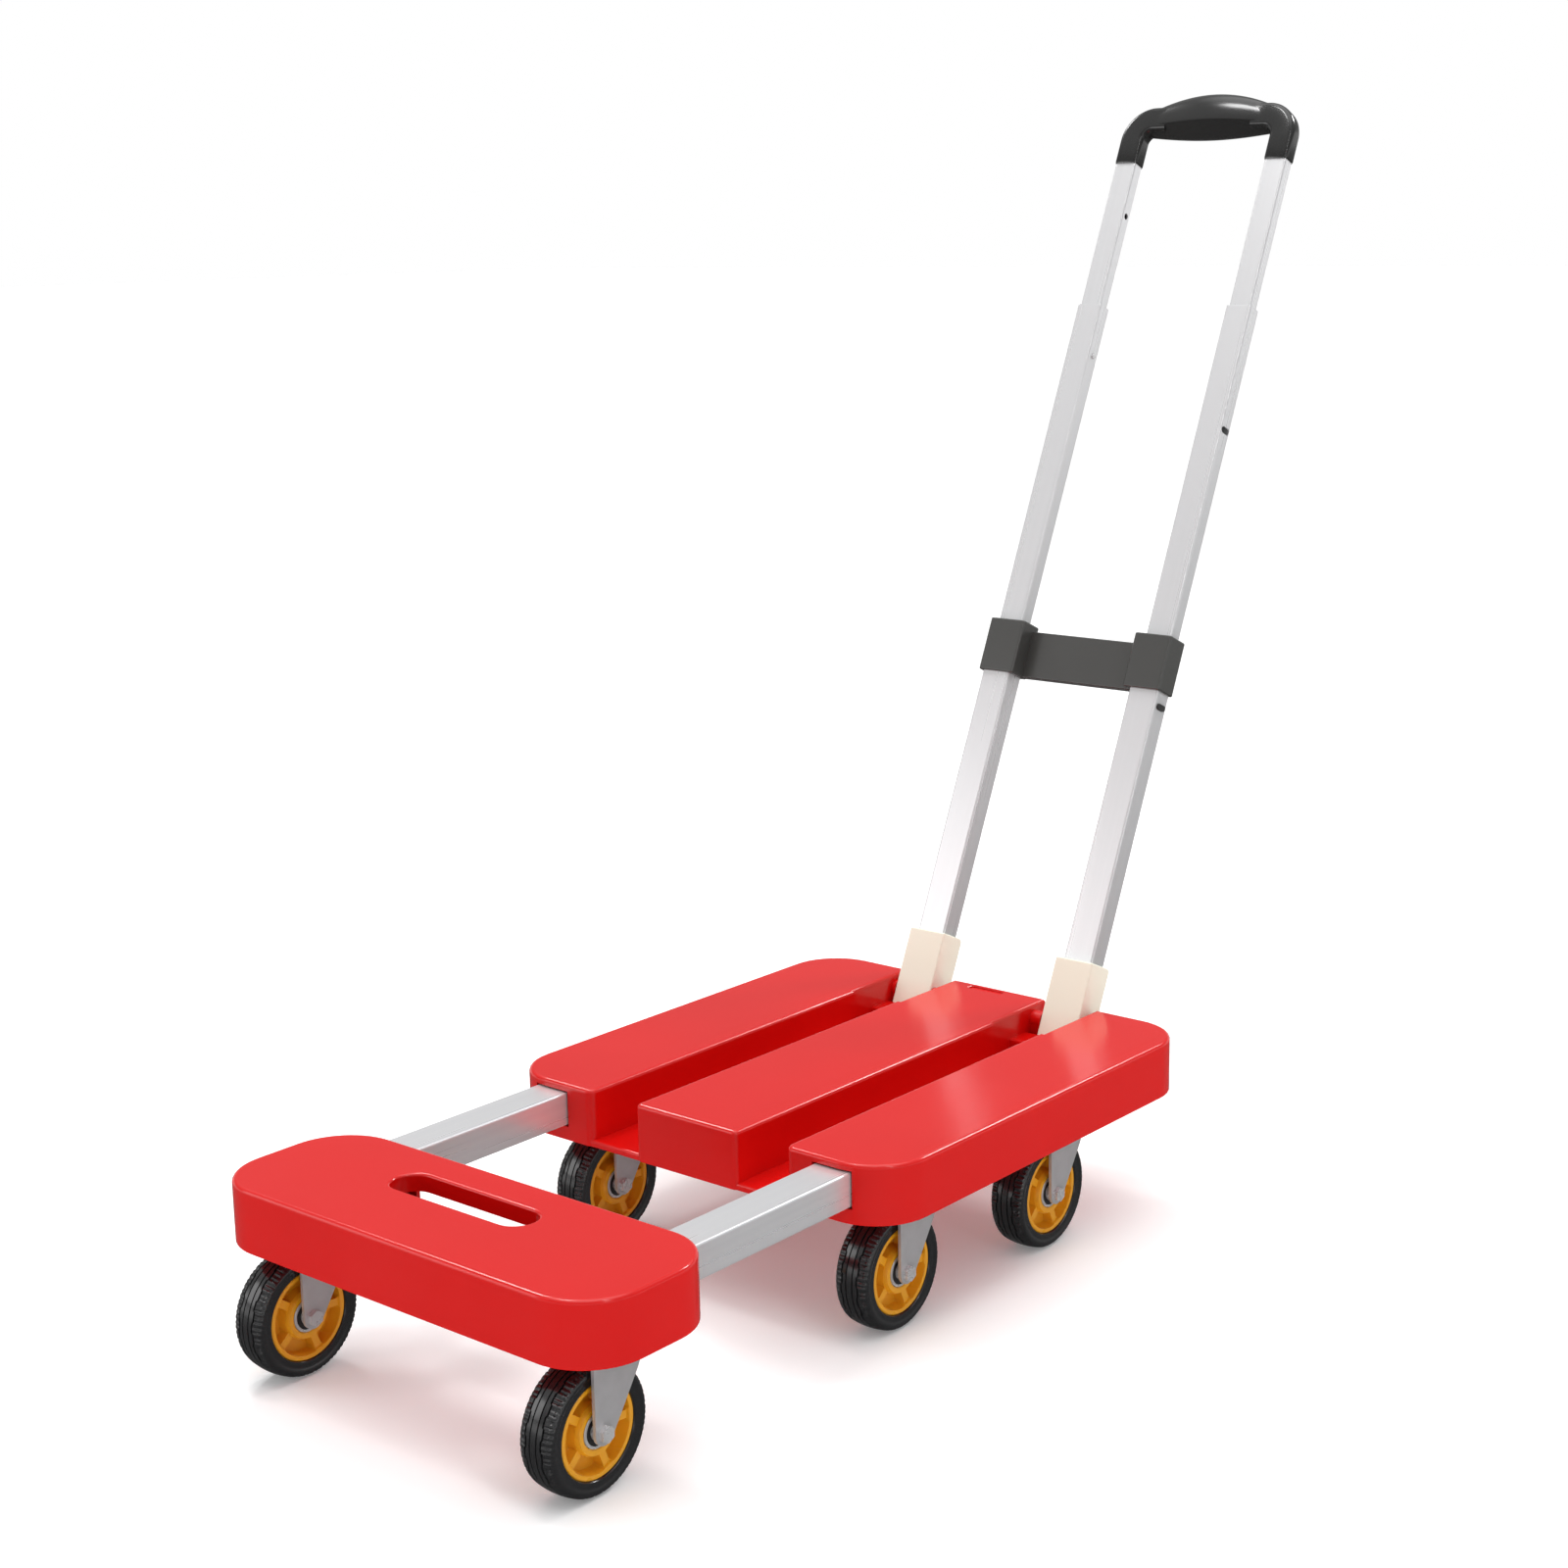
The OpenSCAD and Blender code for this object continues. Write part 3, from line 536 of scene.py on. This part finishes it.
def board_cutters():
    """The hand slot, the notch below the board's rear side, and the holes for the tubes."""
    notch_x, notch_depth, notch_height = 98 * MM, 4 * MM, 19.5 * MM
    hole_x, hole_z, hole_depth = 14.7 * MM, 12 * MM, 30 * MM
    back, top = board_high.y, board_high.z
    slot = loft(stadium(*HAND_SLOT, HAND_SLOT_LENGTH, HAND_SLOT_WIDTH), [
        (top - RIM_DEPTH - 3 * MM, 0.0), (top - 2 * MM, 0.0), (top - 1.2 * MM, -0.2 * MM),
        (top - 0.5 * MM, -0.9 * MM), (top, -2 * MM), (top + 2 * MM, -2 * MM)])
    notch = box_mesh((-notch_x, back - notch_depth, UNDERSIDE - 1 * MM),
                     (notch_x, back + 1 * MM, UNDERSIDE + notch_height))
    cutters = [slot, notch]
    for x, z in extension_tube_middles():
        cutters.append(box_mesh((x - hole_x, back - hole_depth, z - hole_z),
                                (x + hole_x, back + SPARE, z + hole_z)))
    return cutters


def make_board():
    half = board_high.x
    outline = box_loop(-half, half, board_low.y, board_high.y, BOARD_CORNER, CORNER_STEPS)
    mesh = loft(outline, edge_layers(UNDERSIDE, board_high.z, UNDER_EDGE, EDGE))
    mesh = combine(mesh, [board_hollow()] + board_cutters(), "DIFFERENCE")
    smooth(mesh)
    even_normals(add_piece("board_moulding", mesh, "board", RED, "board_shell"))


# Handle, made in its own frame: x across, y deep, z up along the tubes from the hinge

TUBE_X = 68.5 * MM
DEPTH = 8 * MM
# Width and depth of the sliding stages' tubes, in millimetres.
MIDDLE_TUBE = (22, 14)
TOP_TUBE = (19, 11.4)
# Width and depth of a hole that a stage's tube goes into, in millimetres.
LOWER_HOLE = (25.2, 18)
MIDDLE_HOLE = (22.8, 14.8)
TOP_HOLE = (19.1, 11.5)
# Heights of the sliding stages' lower and upper ends, in millimetres.
MIDDLE_ENDS = (243, 573)
TOP_ENDS = (523, 709)
# Heights of the lock holes, first the one used with the handle open, then the one with it pushed in.
LOWER_LOCKS = (251, 473)
UPPER_LOCKS = (531, 651)


def tube_cutter(sign, size, low, high):
    """A hole along one leg of the handle, with its size and ends in millimetres."""
    x = sign * TUBE_X
    half_x, half_y = size[0] / 2 * MM, size[1] / 2 * MM
    return box_mesh((x - half_x, DEPTH - half_y, low * MM), (x + half_x, DEPTH + half_y, high * MM))


def make_sockets():
    """The moulded foot of each leg, which turns on the hinge rod and holds the lower tube."""
    front, back, foot, top = -5.8 * MM, 20.4 * MM, -18 * MM, 49 * MM
    heel, half_width, edge = 12 * MM, 16.4 * MM, 1.1 * MM
    profile = rounded_loop([
        (front, foot, 2 * MM), (heel, foot, 6 * MM), (back, -2 * MM, 8 * MM),
        (back, top, 3.5 * MM), (front, top, 1.2 * MM)], 6)
    for side, sign in SIDES:
        centre = sign * TUBE_X
        layers = edge_layers(centre - half_width, centre + half_width, edge, edge)
        mesh = loft(profile, layers, SIDEWAYS)
        mesh = combine(mesh, [tube_cutter(sign, LOWER_HOLE, 6, 60)], "DIFFERENCE")
        mesh.transform(HANDLE)
        smooth(mesh)
        even_normals(add_piece("socket_" + side, mesh, "handle_lower", CREAM,
                               "handle_socket_" + side))


def make_crossbar():
    """A bar between two clamps, each with a seat for the lower tube and a hole for the middle one."""
    low, high, front, back = 262 * MM, 305 * MM, -4.6 * MM, 18.6 * MM
    bar_half, bar_front, bar_edge, bar_corner = 58 * MM, 10.4 * MM, 1 * MM, 1.2 * MM
    clamp_x, clamp_half, clamp_edge, clamp_corner = 67.25 * MM, 16.25 * MM, 1.2 * MM, 2.2 * MM
    bar = loft(box_loop(-bar_half, bar_half, bar_front, back, bar_corner),
               edge_layers(low + 0.5 * MM, high - 5 * MM, bar_edge, bar_edge))
    clamps, cutters = [], []
    for sign in SIGNS:
        x = sign * clamp_x
        loop = box_loop(x - clamp_half, x + clamp_half, front, back, clamp_corner)
        clamps.append(loft(loop, edge_layers(low, high, clamp_edge, clamp_edge)))
        cutters.append(tube_cutter(sign, LOWER_HOLE, 250, 300))
        cutters.append(tube_cutter(sign, MIDDLE_HOLE, 290, 320))
    mesh = combine(combine(bar, clamps, "UNION"), cutters, "DIFFERENCE")
    mesh.transform(HANDLE)
    smooth(mesh)
    even_normals(add_piece("crossbar_moulding", mesh, "handle_lower", DARK, "crossbar"))


def tube_mesh(sign, size, wall, ends):
    """A tube with round corners and its bore, all in millimetres."""
    x = sign * TUBE_X
    low, high = ends
    half_x, half_y = size[0] / 2 * MM, size[1] / 2 * MM
    outer = box_loop(x - half_x, x + half_x, DEPTH - half_y, DEPTH + half_y, 2 * MM)
    tube = loft(outer, edge_layers(low * MM, high * MM, 0.3 * MM, 0.3 * MM, 2))
    half_x, half_y = half_x - wall * MM, half_y - wall * MM
    inner = box_loop(x - half_x, x + half_x, DEPTH - half_y, DEPTH + half_y, 1 * MM)
    bore = loft(inner, straight(low * MM - SPARE, high * MM + SPARE))
    return combine(tube, [bore], "DIFFERENCE")


def button_holes(sign, heights, length, height, near, far):
    """Cutters through one side wall of a tube, between two places off its middle, in millimetres."""
    span = sorted((sign * (TUBE_X + near * MM), sign * (TUBE_X + far * MM)))
    return [
        loft(stadium(DEPTH, at * MM, length * MM, height * MM, 12), straight(*span), SIDEWAYS)
        for at in heights
    ]


def make_sliding_tubes():
    """The middle and top stages, with the holes that hold a button at each end of a slide."""
    for side, sign in SIDES:
        middle = combine(
            tube_mesh(sign, MIDDLE_TUBE, 1.1, MIDDLE_ENDS),
            button_holes(sign, UPPER_LOCKS[:1], 4.7, 4.7, -12, -8)
            + button_holes(sign, LOWER_LOCKS, 11.6, 5.2, 8, 12), "DIFFERENCE")
        top = combine(
            tube_mesh(sign, TOP_TUBE, 1, TOP_ENDS),
            button_holes(sign, UPPER_LOCKS, 5, 5, -11, -7), "DIFFERENCE")
        for stage, mesh in (("middle", middle), ("top", top)):
            mesh.transform(HANDLE)
            smooth(mesh)
            even_normals(add_piece(stage + "_stage_" + side, mesh, "handle_" + stage, TUBE,
                                   stage + "_tube_" + side))


# Grip: two squared arms, two bends and a thick bar with an arched top, in millimetres

ARM_END = 695.0
BAR_HALF = 51.0
BEND_Z = 715.0
BEND_OUT = 28.0
BAR_TOP = 753.0
BAR_BOTTOM = 716.0
TOP_RISE = 10.0
BOTTOM_RISE = 3.0


def arc_fall(x, rise):
    """How far an arc has fallen at x, if it falls by rise at the end of the bar."""
    radius = (BAR_HALF ** 2 + rise ** 2) / (2 * rise)
    return radius - math.sqrt(radius ** 2 - x ** 2)


def sweep(stations, sections):
    """A closed mesh through stations of (x, z, angle), each with an outline of (outwards, depth)."""
    rings = []
    for (x, z, angle), section in zip(stations, sections):
        out = Vector((math.cos(angle), 0, math.sin(angle)))
        centre = Vector((x * MM, DEPTH, z * MM))
        rings.append([centre + out * (u * MM) + Vector((0, v * MM, 0)) for u, v in section])
    return skin(rings)


def arm_mesh(sign):
    """An arm that comes up from the tube and bends into the end of the bar."""
    half_width, half_depth, edge, lip = 10.5, 7.5, 4.2, 0.5
    bend_steps = 24
    bend_radius = BEND_OUT - half_width
    centre_x = BAR_HALF + bend_radius
    stations = [(centre_x, ARM_END, 0.0), (centre_x, ARM_END + 1.2, 0.0)]
    for k in range(bend_steps + 1):
        a = math.pi / 2 * k / bend_steps
        stations.append((BAR_HALF + bend_radius * math.cos(a), BEND_Z + bend_radius * math.sin(a), a))
    stations.append((BAR_HALF - 12, BEND_Z + bend_radius, math.pi / 2))
    if sign < 0:
        stations = [(-x, z, math.pi - a) for x, z, a in stations]
    outline = box_loop(-half_width, half_width, -half_depth, half_depth, edge)
    return sweep(stations, [inset(outline, lip)] + [outline] * (len(stations) - 1))


def bar_section(half_thickness, half_depth):
    """Round on top, and cut back below a crease along the lower front."""
    power, reach, count = 2.5, 0.90, 96
    points = []
    for k in range(count):
        t = 2 * math.pi * k / count
        c, s = math.cos(t), math.sin(t)
        radial = (abs(c) ** power + abs(s) ** power) ** (-1 / power)
        lower_front = -0.90 * c - 0.62 * s
        if lower_front > 0:
            radial = min(radial, reach / lower_front)
        points.append((half_thickness * c * radial, half_depth * s * radial))
    return points


def bar_mesh():
    """The bar, thickest and deepest at its middle."""
    end_depth, more_in_middle = 6.9, 4.4
    end = BAR_HALF + 6
    steps = 48
    stations, sections = [], []
    for k in range(steps + 1):
        x = end * (1 - 2 * k / steps)
        high = BAR_TOP - arc_fall(x, TOP_RISE)
        low = BAR_BOTTOM + arc_fall(x, BOTTOM_RISE)
        depth = end_depth + more_in_middle * math.cos(math.pi / 2 * x / end) ** 1.5
        stations.append((x, (high + low) / 2, math.pi / 2))
        sections.append(bar_section((high - low) / 2, depth))
    return sweep(stations, sections)


def make_grip():
    mesh = combine(bar_mesh(), [arm_mesh(sign) for sign in SIGNS], "UNION")
    seats = [tube_cutter(sign, TOP_HOLE, 690, TOP_ENDS[1]) for sign in SIGNS]
    mesh = combine(mesh, seats, "DIFFERENCE")
    mesh.transform(HANDLE)
    smooth(mesh, 30)
    add_piece("grip_moulding", mesh, "handle_top", BLACK, "grip")


# Casters, in millimetres. Each shape is made once about its own origin and then used six times.

TYRE_R = 41.0
HUB_R = 29.5
LUGS = 36
LUG_STEPS = 8
SPOKES = 5
AXLE_BACK = 16.0


def groove(start, end, depth):
    """Points (place across, depth) of a groove in the tread, with steep sides."""
    side = 0.2
    return [(start, 0), (start + side, depth), (end - side, depth), (end, 0)]


def tyre_profile(lug, step):
    """Outline of the tyre at one step of a lug, as (radius, place across) points."""
    tread_edge, crown = 9.6, 0.010
    shoulder_top, shoulder_drop, shoulder_width, shoulder_steps = TYRE_R - 1, 3.6, 3.4, 8
    # The outer grooves zigzag from lug to lug, and cuts run from the tread's edges into the shoulders.
    shift = 0.9 if lug % 2 else 0.0
    cut = 0.9 if step in (2, 3, 6) else 0.0
    tread = [(-tread_edge, 0)] + groove(shift - 7.4, shift - 6.1, 1.3) + groove(-3.0, -2.0, 1.1)
    tread = tread + [(0.0, 0.02)] + [(-across, depth) for across, depth in reversed(tread)]
    points = []
    for across, depth in tread:
        edge_cut = cut if abs(across) == tread_edge else 0.0
        points.append((TYRE_R - crown * across * across - depth - edge_cut, across))
    shoulder = []
    for k in range(1, shoulder_steps + 1):
        a = math.pi / 2 * k / shoulder_steps
        bite = cut * (1 - k / shoulder_steps) if k < 6 else 0.0
        shoulder.append((shoulder_top - shoulder_drop * (1 - math.cos(a)) - bite,
                         tread_edge + shoulder_width * math.sin(a)))
    wall = [(34.6, 12.6), (33.6, 12.3), (32.2, 12.5), (30.2, 12.2), (HUB_R, 11.2)]
    right_side = shoulder + wall
    left_side = [(r, -z) for r, z in reversed(right_side)]
    return left_side + points + right_side


def tyre_mesh():
    """A tyre whose outline changes from step to step, so that its grooves and cuts are real."""
    profiles = [in_mm(tyre_profile(lug, step)) for lug in range(LUGS) for step in range(LUG_STEPS)]
    mesh = revolve(profiles, SIDEWAYS)
    smooth(mesh, 38)
    return mesh


def pocket_mesh(spoke, face):
    """One of the spaces between two spokes, with round corners and sloping sides."""
    inner, outer, half_spoke, steps = 16.2, 26.2, 2.6, 9
    span = 2 * math.pi / SPOKES
    corners = []
    for radius, corner, ways in ((outer, 1.8, range(steps + 1)), (inner, 0.6, range(steps, -1, -1))):
        start = math.asin(half_spoke / radius)
        for k in ways:
            a = start + (span - 2 * start) * k / steps
            corners.append((radius * math.cos(a) * MM, radius * math.sin(a) * MM,
                            corner * MM if k in (0, steps) else 0))
    layers = in_mm([(2.8, 0.9), (3.6, 0.35), (8.6, 0.0), (12, -0.3)])
    turn = Matrix.Rotation(span * spoke, 4, "Z")
    if face < 0:
        turn = Matrix.Rotation(math.pi, 4, "X") @ turn
    return loft(rounded_loop(corners, 5), layers, turn)


def hub_mesh():
    """A hub with a rim, a raised boss round its bearings, and pockets in both faces."""
    half, steps = 11.5, 96
    half_outline = [
        (28.9, half), (26.6, half), (26.0, 11.0), (25.6, 9.6), (16.0, 8.8), (15.4, 10.6),
        (14.9, half), (12.0, half), (11.2, 10.8), (11.05, 4.4), (6.0, 4.4),
    ]
    other_half = [(r, -z) for r, z in reversed(half_outline)]
    outline = [(HUB_R, -10.9), (HUB_R, 10.9)] + half_outline + other_half
    mesh = revolve([in_mm(outline)] * steps)
    pockets = [pocket_mesh(spoke, face) for spoke in range(SPOKES) for face in (1, -1)]
    mesh = combine(mesh, pockets, "DIFFERENCE")
    mesh.transform(SIDEWAYS)
    smooth(mesh)
    return mesh


def bearing_mesh():
    """Two ball bearings, each with an outer ring, an inner ring and a dark seal set between them."""
    inner, seal_in, seal_out, outer = 4.05, 5.6, 9.2, 11.0
    near, far, sunk, chamfer, steps = 4.5, 11.4, 0.6, 0.3, 48
    section = [
        (inner, near), (outer, near), (outer, far - chamfer), (outer - chamfer, far), (seal_out, far),
        (seal_out, far - sunk), (seal_in, far - sunk), (seal_in, far), (inner, far),
    ]
    bm = bmesh.new()
    for face in (1, -1):
        bm.from_mesh(revolve([in_mm([(r, z * face) for r, z in section])] * steps))
    mesh = to_mesh(bm, SIDEWAYS)
    smooth(mesh)
    mesh.materials.append(SEAL)
    mesh.materials.append(MATT)
    for polygon in mesh.polygons:
        place = polygon.center
        across = math.hypot(place.y, place.z) / MM
        sealed = seal_in < across < seal_out and abs(place.x) > (near + 1) * MM
        polygon.material_index = 1 if sealed else 0
    return mesh


def fork_mesh():
    """Bent sheet: a U across the wheel, cut to the outline of the legs seen from the side."""
    inside, outside, low, top, web = 14.8, 17.0, 30.0, 86.4, 2.0
    boss, boss_sweep, boss_steps = 7.5, math.radians(150), 16
    pin_bore, axle_bore, beyond = 10.1, 8.1, 25
    cross = rounded_loop([
        (-outside, low, 0), (-inside, low, 0), (-inside, top - web, 1.4), (inside, top - web, 1.4),
        (inside, low, 0), (outside, low, 0), (outside, top, 3.4), (-outside, top, 3.4)], 6)
    along_y = Matrix(((1, 0, 0, 0), (0, 0, -1, 0), (0, 1, 0, 0), (0, 0, 0, 1)))
    bent = loft([p * MM for p in cross], straight(-20 * MM, 30 * MM), along_y)
    legs = [Vector((18.5, top)), Vector((-23.5, top))]
    for k in range(boss_steps + 1):
        a = math.pi + boss_sweep * k / boss_steps
        legs.append(Vector((boss * math.cos(a) - AXLE_BACK, TYRE_R + boss * math.sin(a))))
    legs += [Vector((12.5, 71)), Vector((17.2, 80)), Vector((18.5, 84))]
    through = straight(-beyond * MM, beyond * MM)
    mesh = combine(bent, [loft([p * MM for p in legs], through, SIDEWAYS)], "INTERSECT")
    pin = loft(stadium(0, 0, pin_bore * MM, pin_bore * MM, 14), straight(80 * MM, 90 * MM))
    axle = loft(stadium(-AXLE_BACK * MM, TYRE_R * MM, axle_bore * MM, axle_bore * MM, 14),
                through, SIDEWAYS)
    mesh = combine(mesh, [pin, axle], "DIFFERENCE")
    smooth(mesh)
    return mesh


def make_casters():
    parts = (
        ("tyre", tyre_mesh(), RUBBER, "tyre_black", "wheel_"),
        ("hub", hub_mesh(), ORANGE, "hub_orange", "wheel_"),
        ("bearings", bearing_mesh(), SEAL, "bearing", "wheel_"),
        ("fork", fork_mesh(), STEEL, "caster_steel", "swivel_"),
    )
    for caster in PLACES:
        swivel = Vector(joints["swivel_" + caster]["pos_m"])
        axle = Vector(joints["wheel_spin_" + caster]["pos_m"])
        for part, mesh, material, slot, body in parts:
            place = (swivel.x, swivel.y, 0) if part == "fork" else axle
            piece = add_piece(part + "_shape_" + caster, mesh, body + caster, material,
                              part + "_" + caster, place)
            if part == "fork":
                soften(piece, 0.3 * MM)


# CAD pieces that keep their shape


def dress(names, material, edge=0.0):
    """Gives CAD nodes a material and, where edge is given, rounded edges."""
    for name in names:
        node = frame["nodes"][name]
        node.data.materials.clear()
        node.data.materials.append(material)
        if edge:
            soften(node, edge)


def dress_cad():
    dress(["deck_base_plate", "board_base_plate"], RED_UNDER)
    dress(["fold_release_tab"], RED)
    dress(["deck_screws", "board_screws", "hinge_rod"], STEEL)
    dress(["deck_caster_mounts", "board_caster_mounts"], STEEL)
    dress(["deck_tube_bushes", "extension_tube_stops", "middle_tube_plugs", "top_tube_plugs"], MATT)
    dress(["extension_tube_left", "extension_tube_right"], RAIL)
    dress(["lower_tube_left", "lower_tube_right"], TUBE, 0.3 * MM)
    dress(["lower_button_left", "lower_button_right"], MATT)
    dress(["upper_button_left", "upper_button_right"], SEAL)
    dress(["axle_" + caster for caster in PLACES], SEAL, 0.4 * MM)


# Camera, floor and light

# The photo's viewing angle and framing, found by fitting a camera to the cart's measured outline.
AZIMUTH = math.radians(40.13)
ELEVATION = math.radians(12.52)
ROLL = math.radians(-0.988)
DISTANCE = 1.72997
LENS = 58.2
TARGET = Vector((-0.00761, board_low.y + 0.38106, 0.33616))

# Each lamp's place in metres, width, height and radiance.
LAMPS = {
    "left_box": ((-1.64, 0.38, 2.0), 0.4, 0.4, 26),
    "back_box": ((0.6, 2.0, 1.8), 0.45, 0.45, 26),
    "front_box": ((-1.7, -1.8, 1.0), 1.0, 1.0, 1.9),
    "top_box": ((-0.60, -0.45, 2.40), 0.32, 0.32, 20),
    "right_strip": ((1.65, -0.75, 1.6), 0.05, 2.0, 14),
}
LAMPS_FACE = Vector((0, 0, 0.3))

# The sky's brightness, at heights from -1 for straight down to 1 for straight up.
OVERHEAD = 2.3
SKY = ((-1.0, 0.06), (-0.30, 0.16), (-0.08, 0.40), (-0.03, 1.0), (0.10, 1.0), (0.20, 0.26),
       (0.44, 0.33), (0.52, 0.55), (0.66, 0.60), (0.80, 0.55), (0.92, OVERHEAD))


def make_camera():
    """Looks at the target from the photo's angle, with a slight roll."""
    back = Vector((math.sin(AZIMUTH) * math.cos(ELEVATION),
                   -math.cos(AZIMUTH) * math.cos(ELEVATION), math.sin(ELEVATION)))
    right = Vector((math.cos(AZIMUTH), math.sin(AZIMUTH), 0))
    up = back.cross(right)
    rolled_right = right * math.cos(ROLL) + up * math.sin(ROLL)
    rolled_up = up * math.cos(ROLL) - right * math.sin(ROLL)
    data = bpy.data.cameras.new("camera")
    data.lens = LENS
    data.sensor_width = 36
    data.clip_end = 60
    camera = bpy.data.objects.new("camera", data)
    turn = Matrix((rolled_right, rolled_up, back)).transposed().to_4x4()
    camera.matrix_world = Matrix.Translation(TARGET + back * DISTANCE) @ turn
    bpy.context.scene.collection.objects.link(camera)
    bpy.context.scene.camera = camera


def soft_box(name, place, width, height, radiance):
    """A flat lamp that faces the cart and isn't seen by the camera."""
    data = bpy.data.lights.new(name, "AREA")
    data.shape = "RECTANGLE"
    data.size = width
    data.size_y = height
    data.energy = radiance * math.pi * width * height
    light = bpy.data.objects.new(name, data)
    light.location = place
    light.rotation_mode = "QUATERNION"
    light.rotation_quaternion = (LAMPS_FACE - Vector(place)).to_track_quat("-Z", "Y")
    light.visible_camera = False
    bpy.context.scene.collection.objects.link(light)


def shade_world(tree):
    """White at the horizon, dim above it and bright overhead, so that coloured gloss stays deep."""
    direction = tree.nodes.new("ShaderNodeTexCoord").outputs["Generated"]
    split = tree.nodes.new("ShaderNodeSeparateXYZ")
    tree.links.new(direction, split.inputs["Vector"])
    height = tree.nodes.new("ShaderNodeMapRange")
    height.inputs["From Min"].default_value = -1
    tree.links.new(split.outputs["Z"], height.inputs["Value"])
    ramp = tree.nodes.new("ShaderNodeValToRGB")
    while len(ramp.color_ramp.elements) < len(SKY):
        ramp.color_ramp.elements.new(0.5)
    for element, (z, level) in zip(ramp.color_ramp.elements, SKY):
        element.position = (z + 1) / 2
        element.color = (level / OVERHEAD, level / OVERHEAD, level / OVERHEAD, 1)
    tree.links.new(height.outputs["Result"], ramp.inputs["Fac"])
    background = tree.nodes["Background"]
    background.inputs["Strength"].default_value = OVERHEAD
    tree.links.new(ramp.outputs["Color"], background.inputs["Color"])


def make_floor():
    """A pale floor with its top just below zero. Gloss doesn't reflect it."""
    size, thickness, gap = 60, 0.05, 0.2 * MM
    surface = Surface("floor", (0.96, 0.96, 0.96), 0.8, shine=0.1)
    surface.vary_color(surface.noise(3, 2), (0.95, 0.95, 0.95))
    surface.shader.inputs["Emission Color"].default_value = (1, 1, 1, 1)
    surface.shader.inputs["Emission Strength"].default_value = 0.15
    slab = loft(box_loop(-size / 2, size / 2, -size / 2, size / 2), straight(-thickness, -gap))
    slab.materials.append(surface.material)
    ground = bpy.data.objects.new("floor", slab)
    ground.visible_glossy = False
    bpy.context.scene.collection.objects.link(ground)


def make_light():
    world = bpy.data.worlds.new("studio")
    world.use_nodes = True
    shade_world(world.node_tree)
    bpy.context.scene.world = world
    for name, (place, width, height, radiance) in LAMPS.items():
        soft_box(name, place, width, height, radiance)
    bpy.context.scene.view_settings.view_transform = "Standard"


make_deck()
make_board()
make_sockets()
make_crossbar()
make_sliding_tubes()
make_grip()
make_casters()
dress_cad()
make_camera()
make_floor()
make_light()
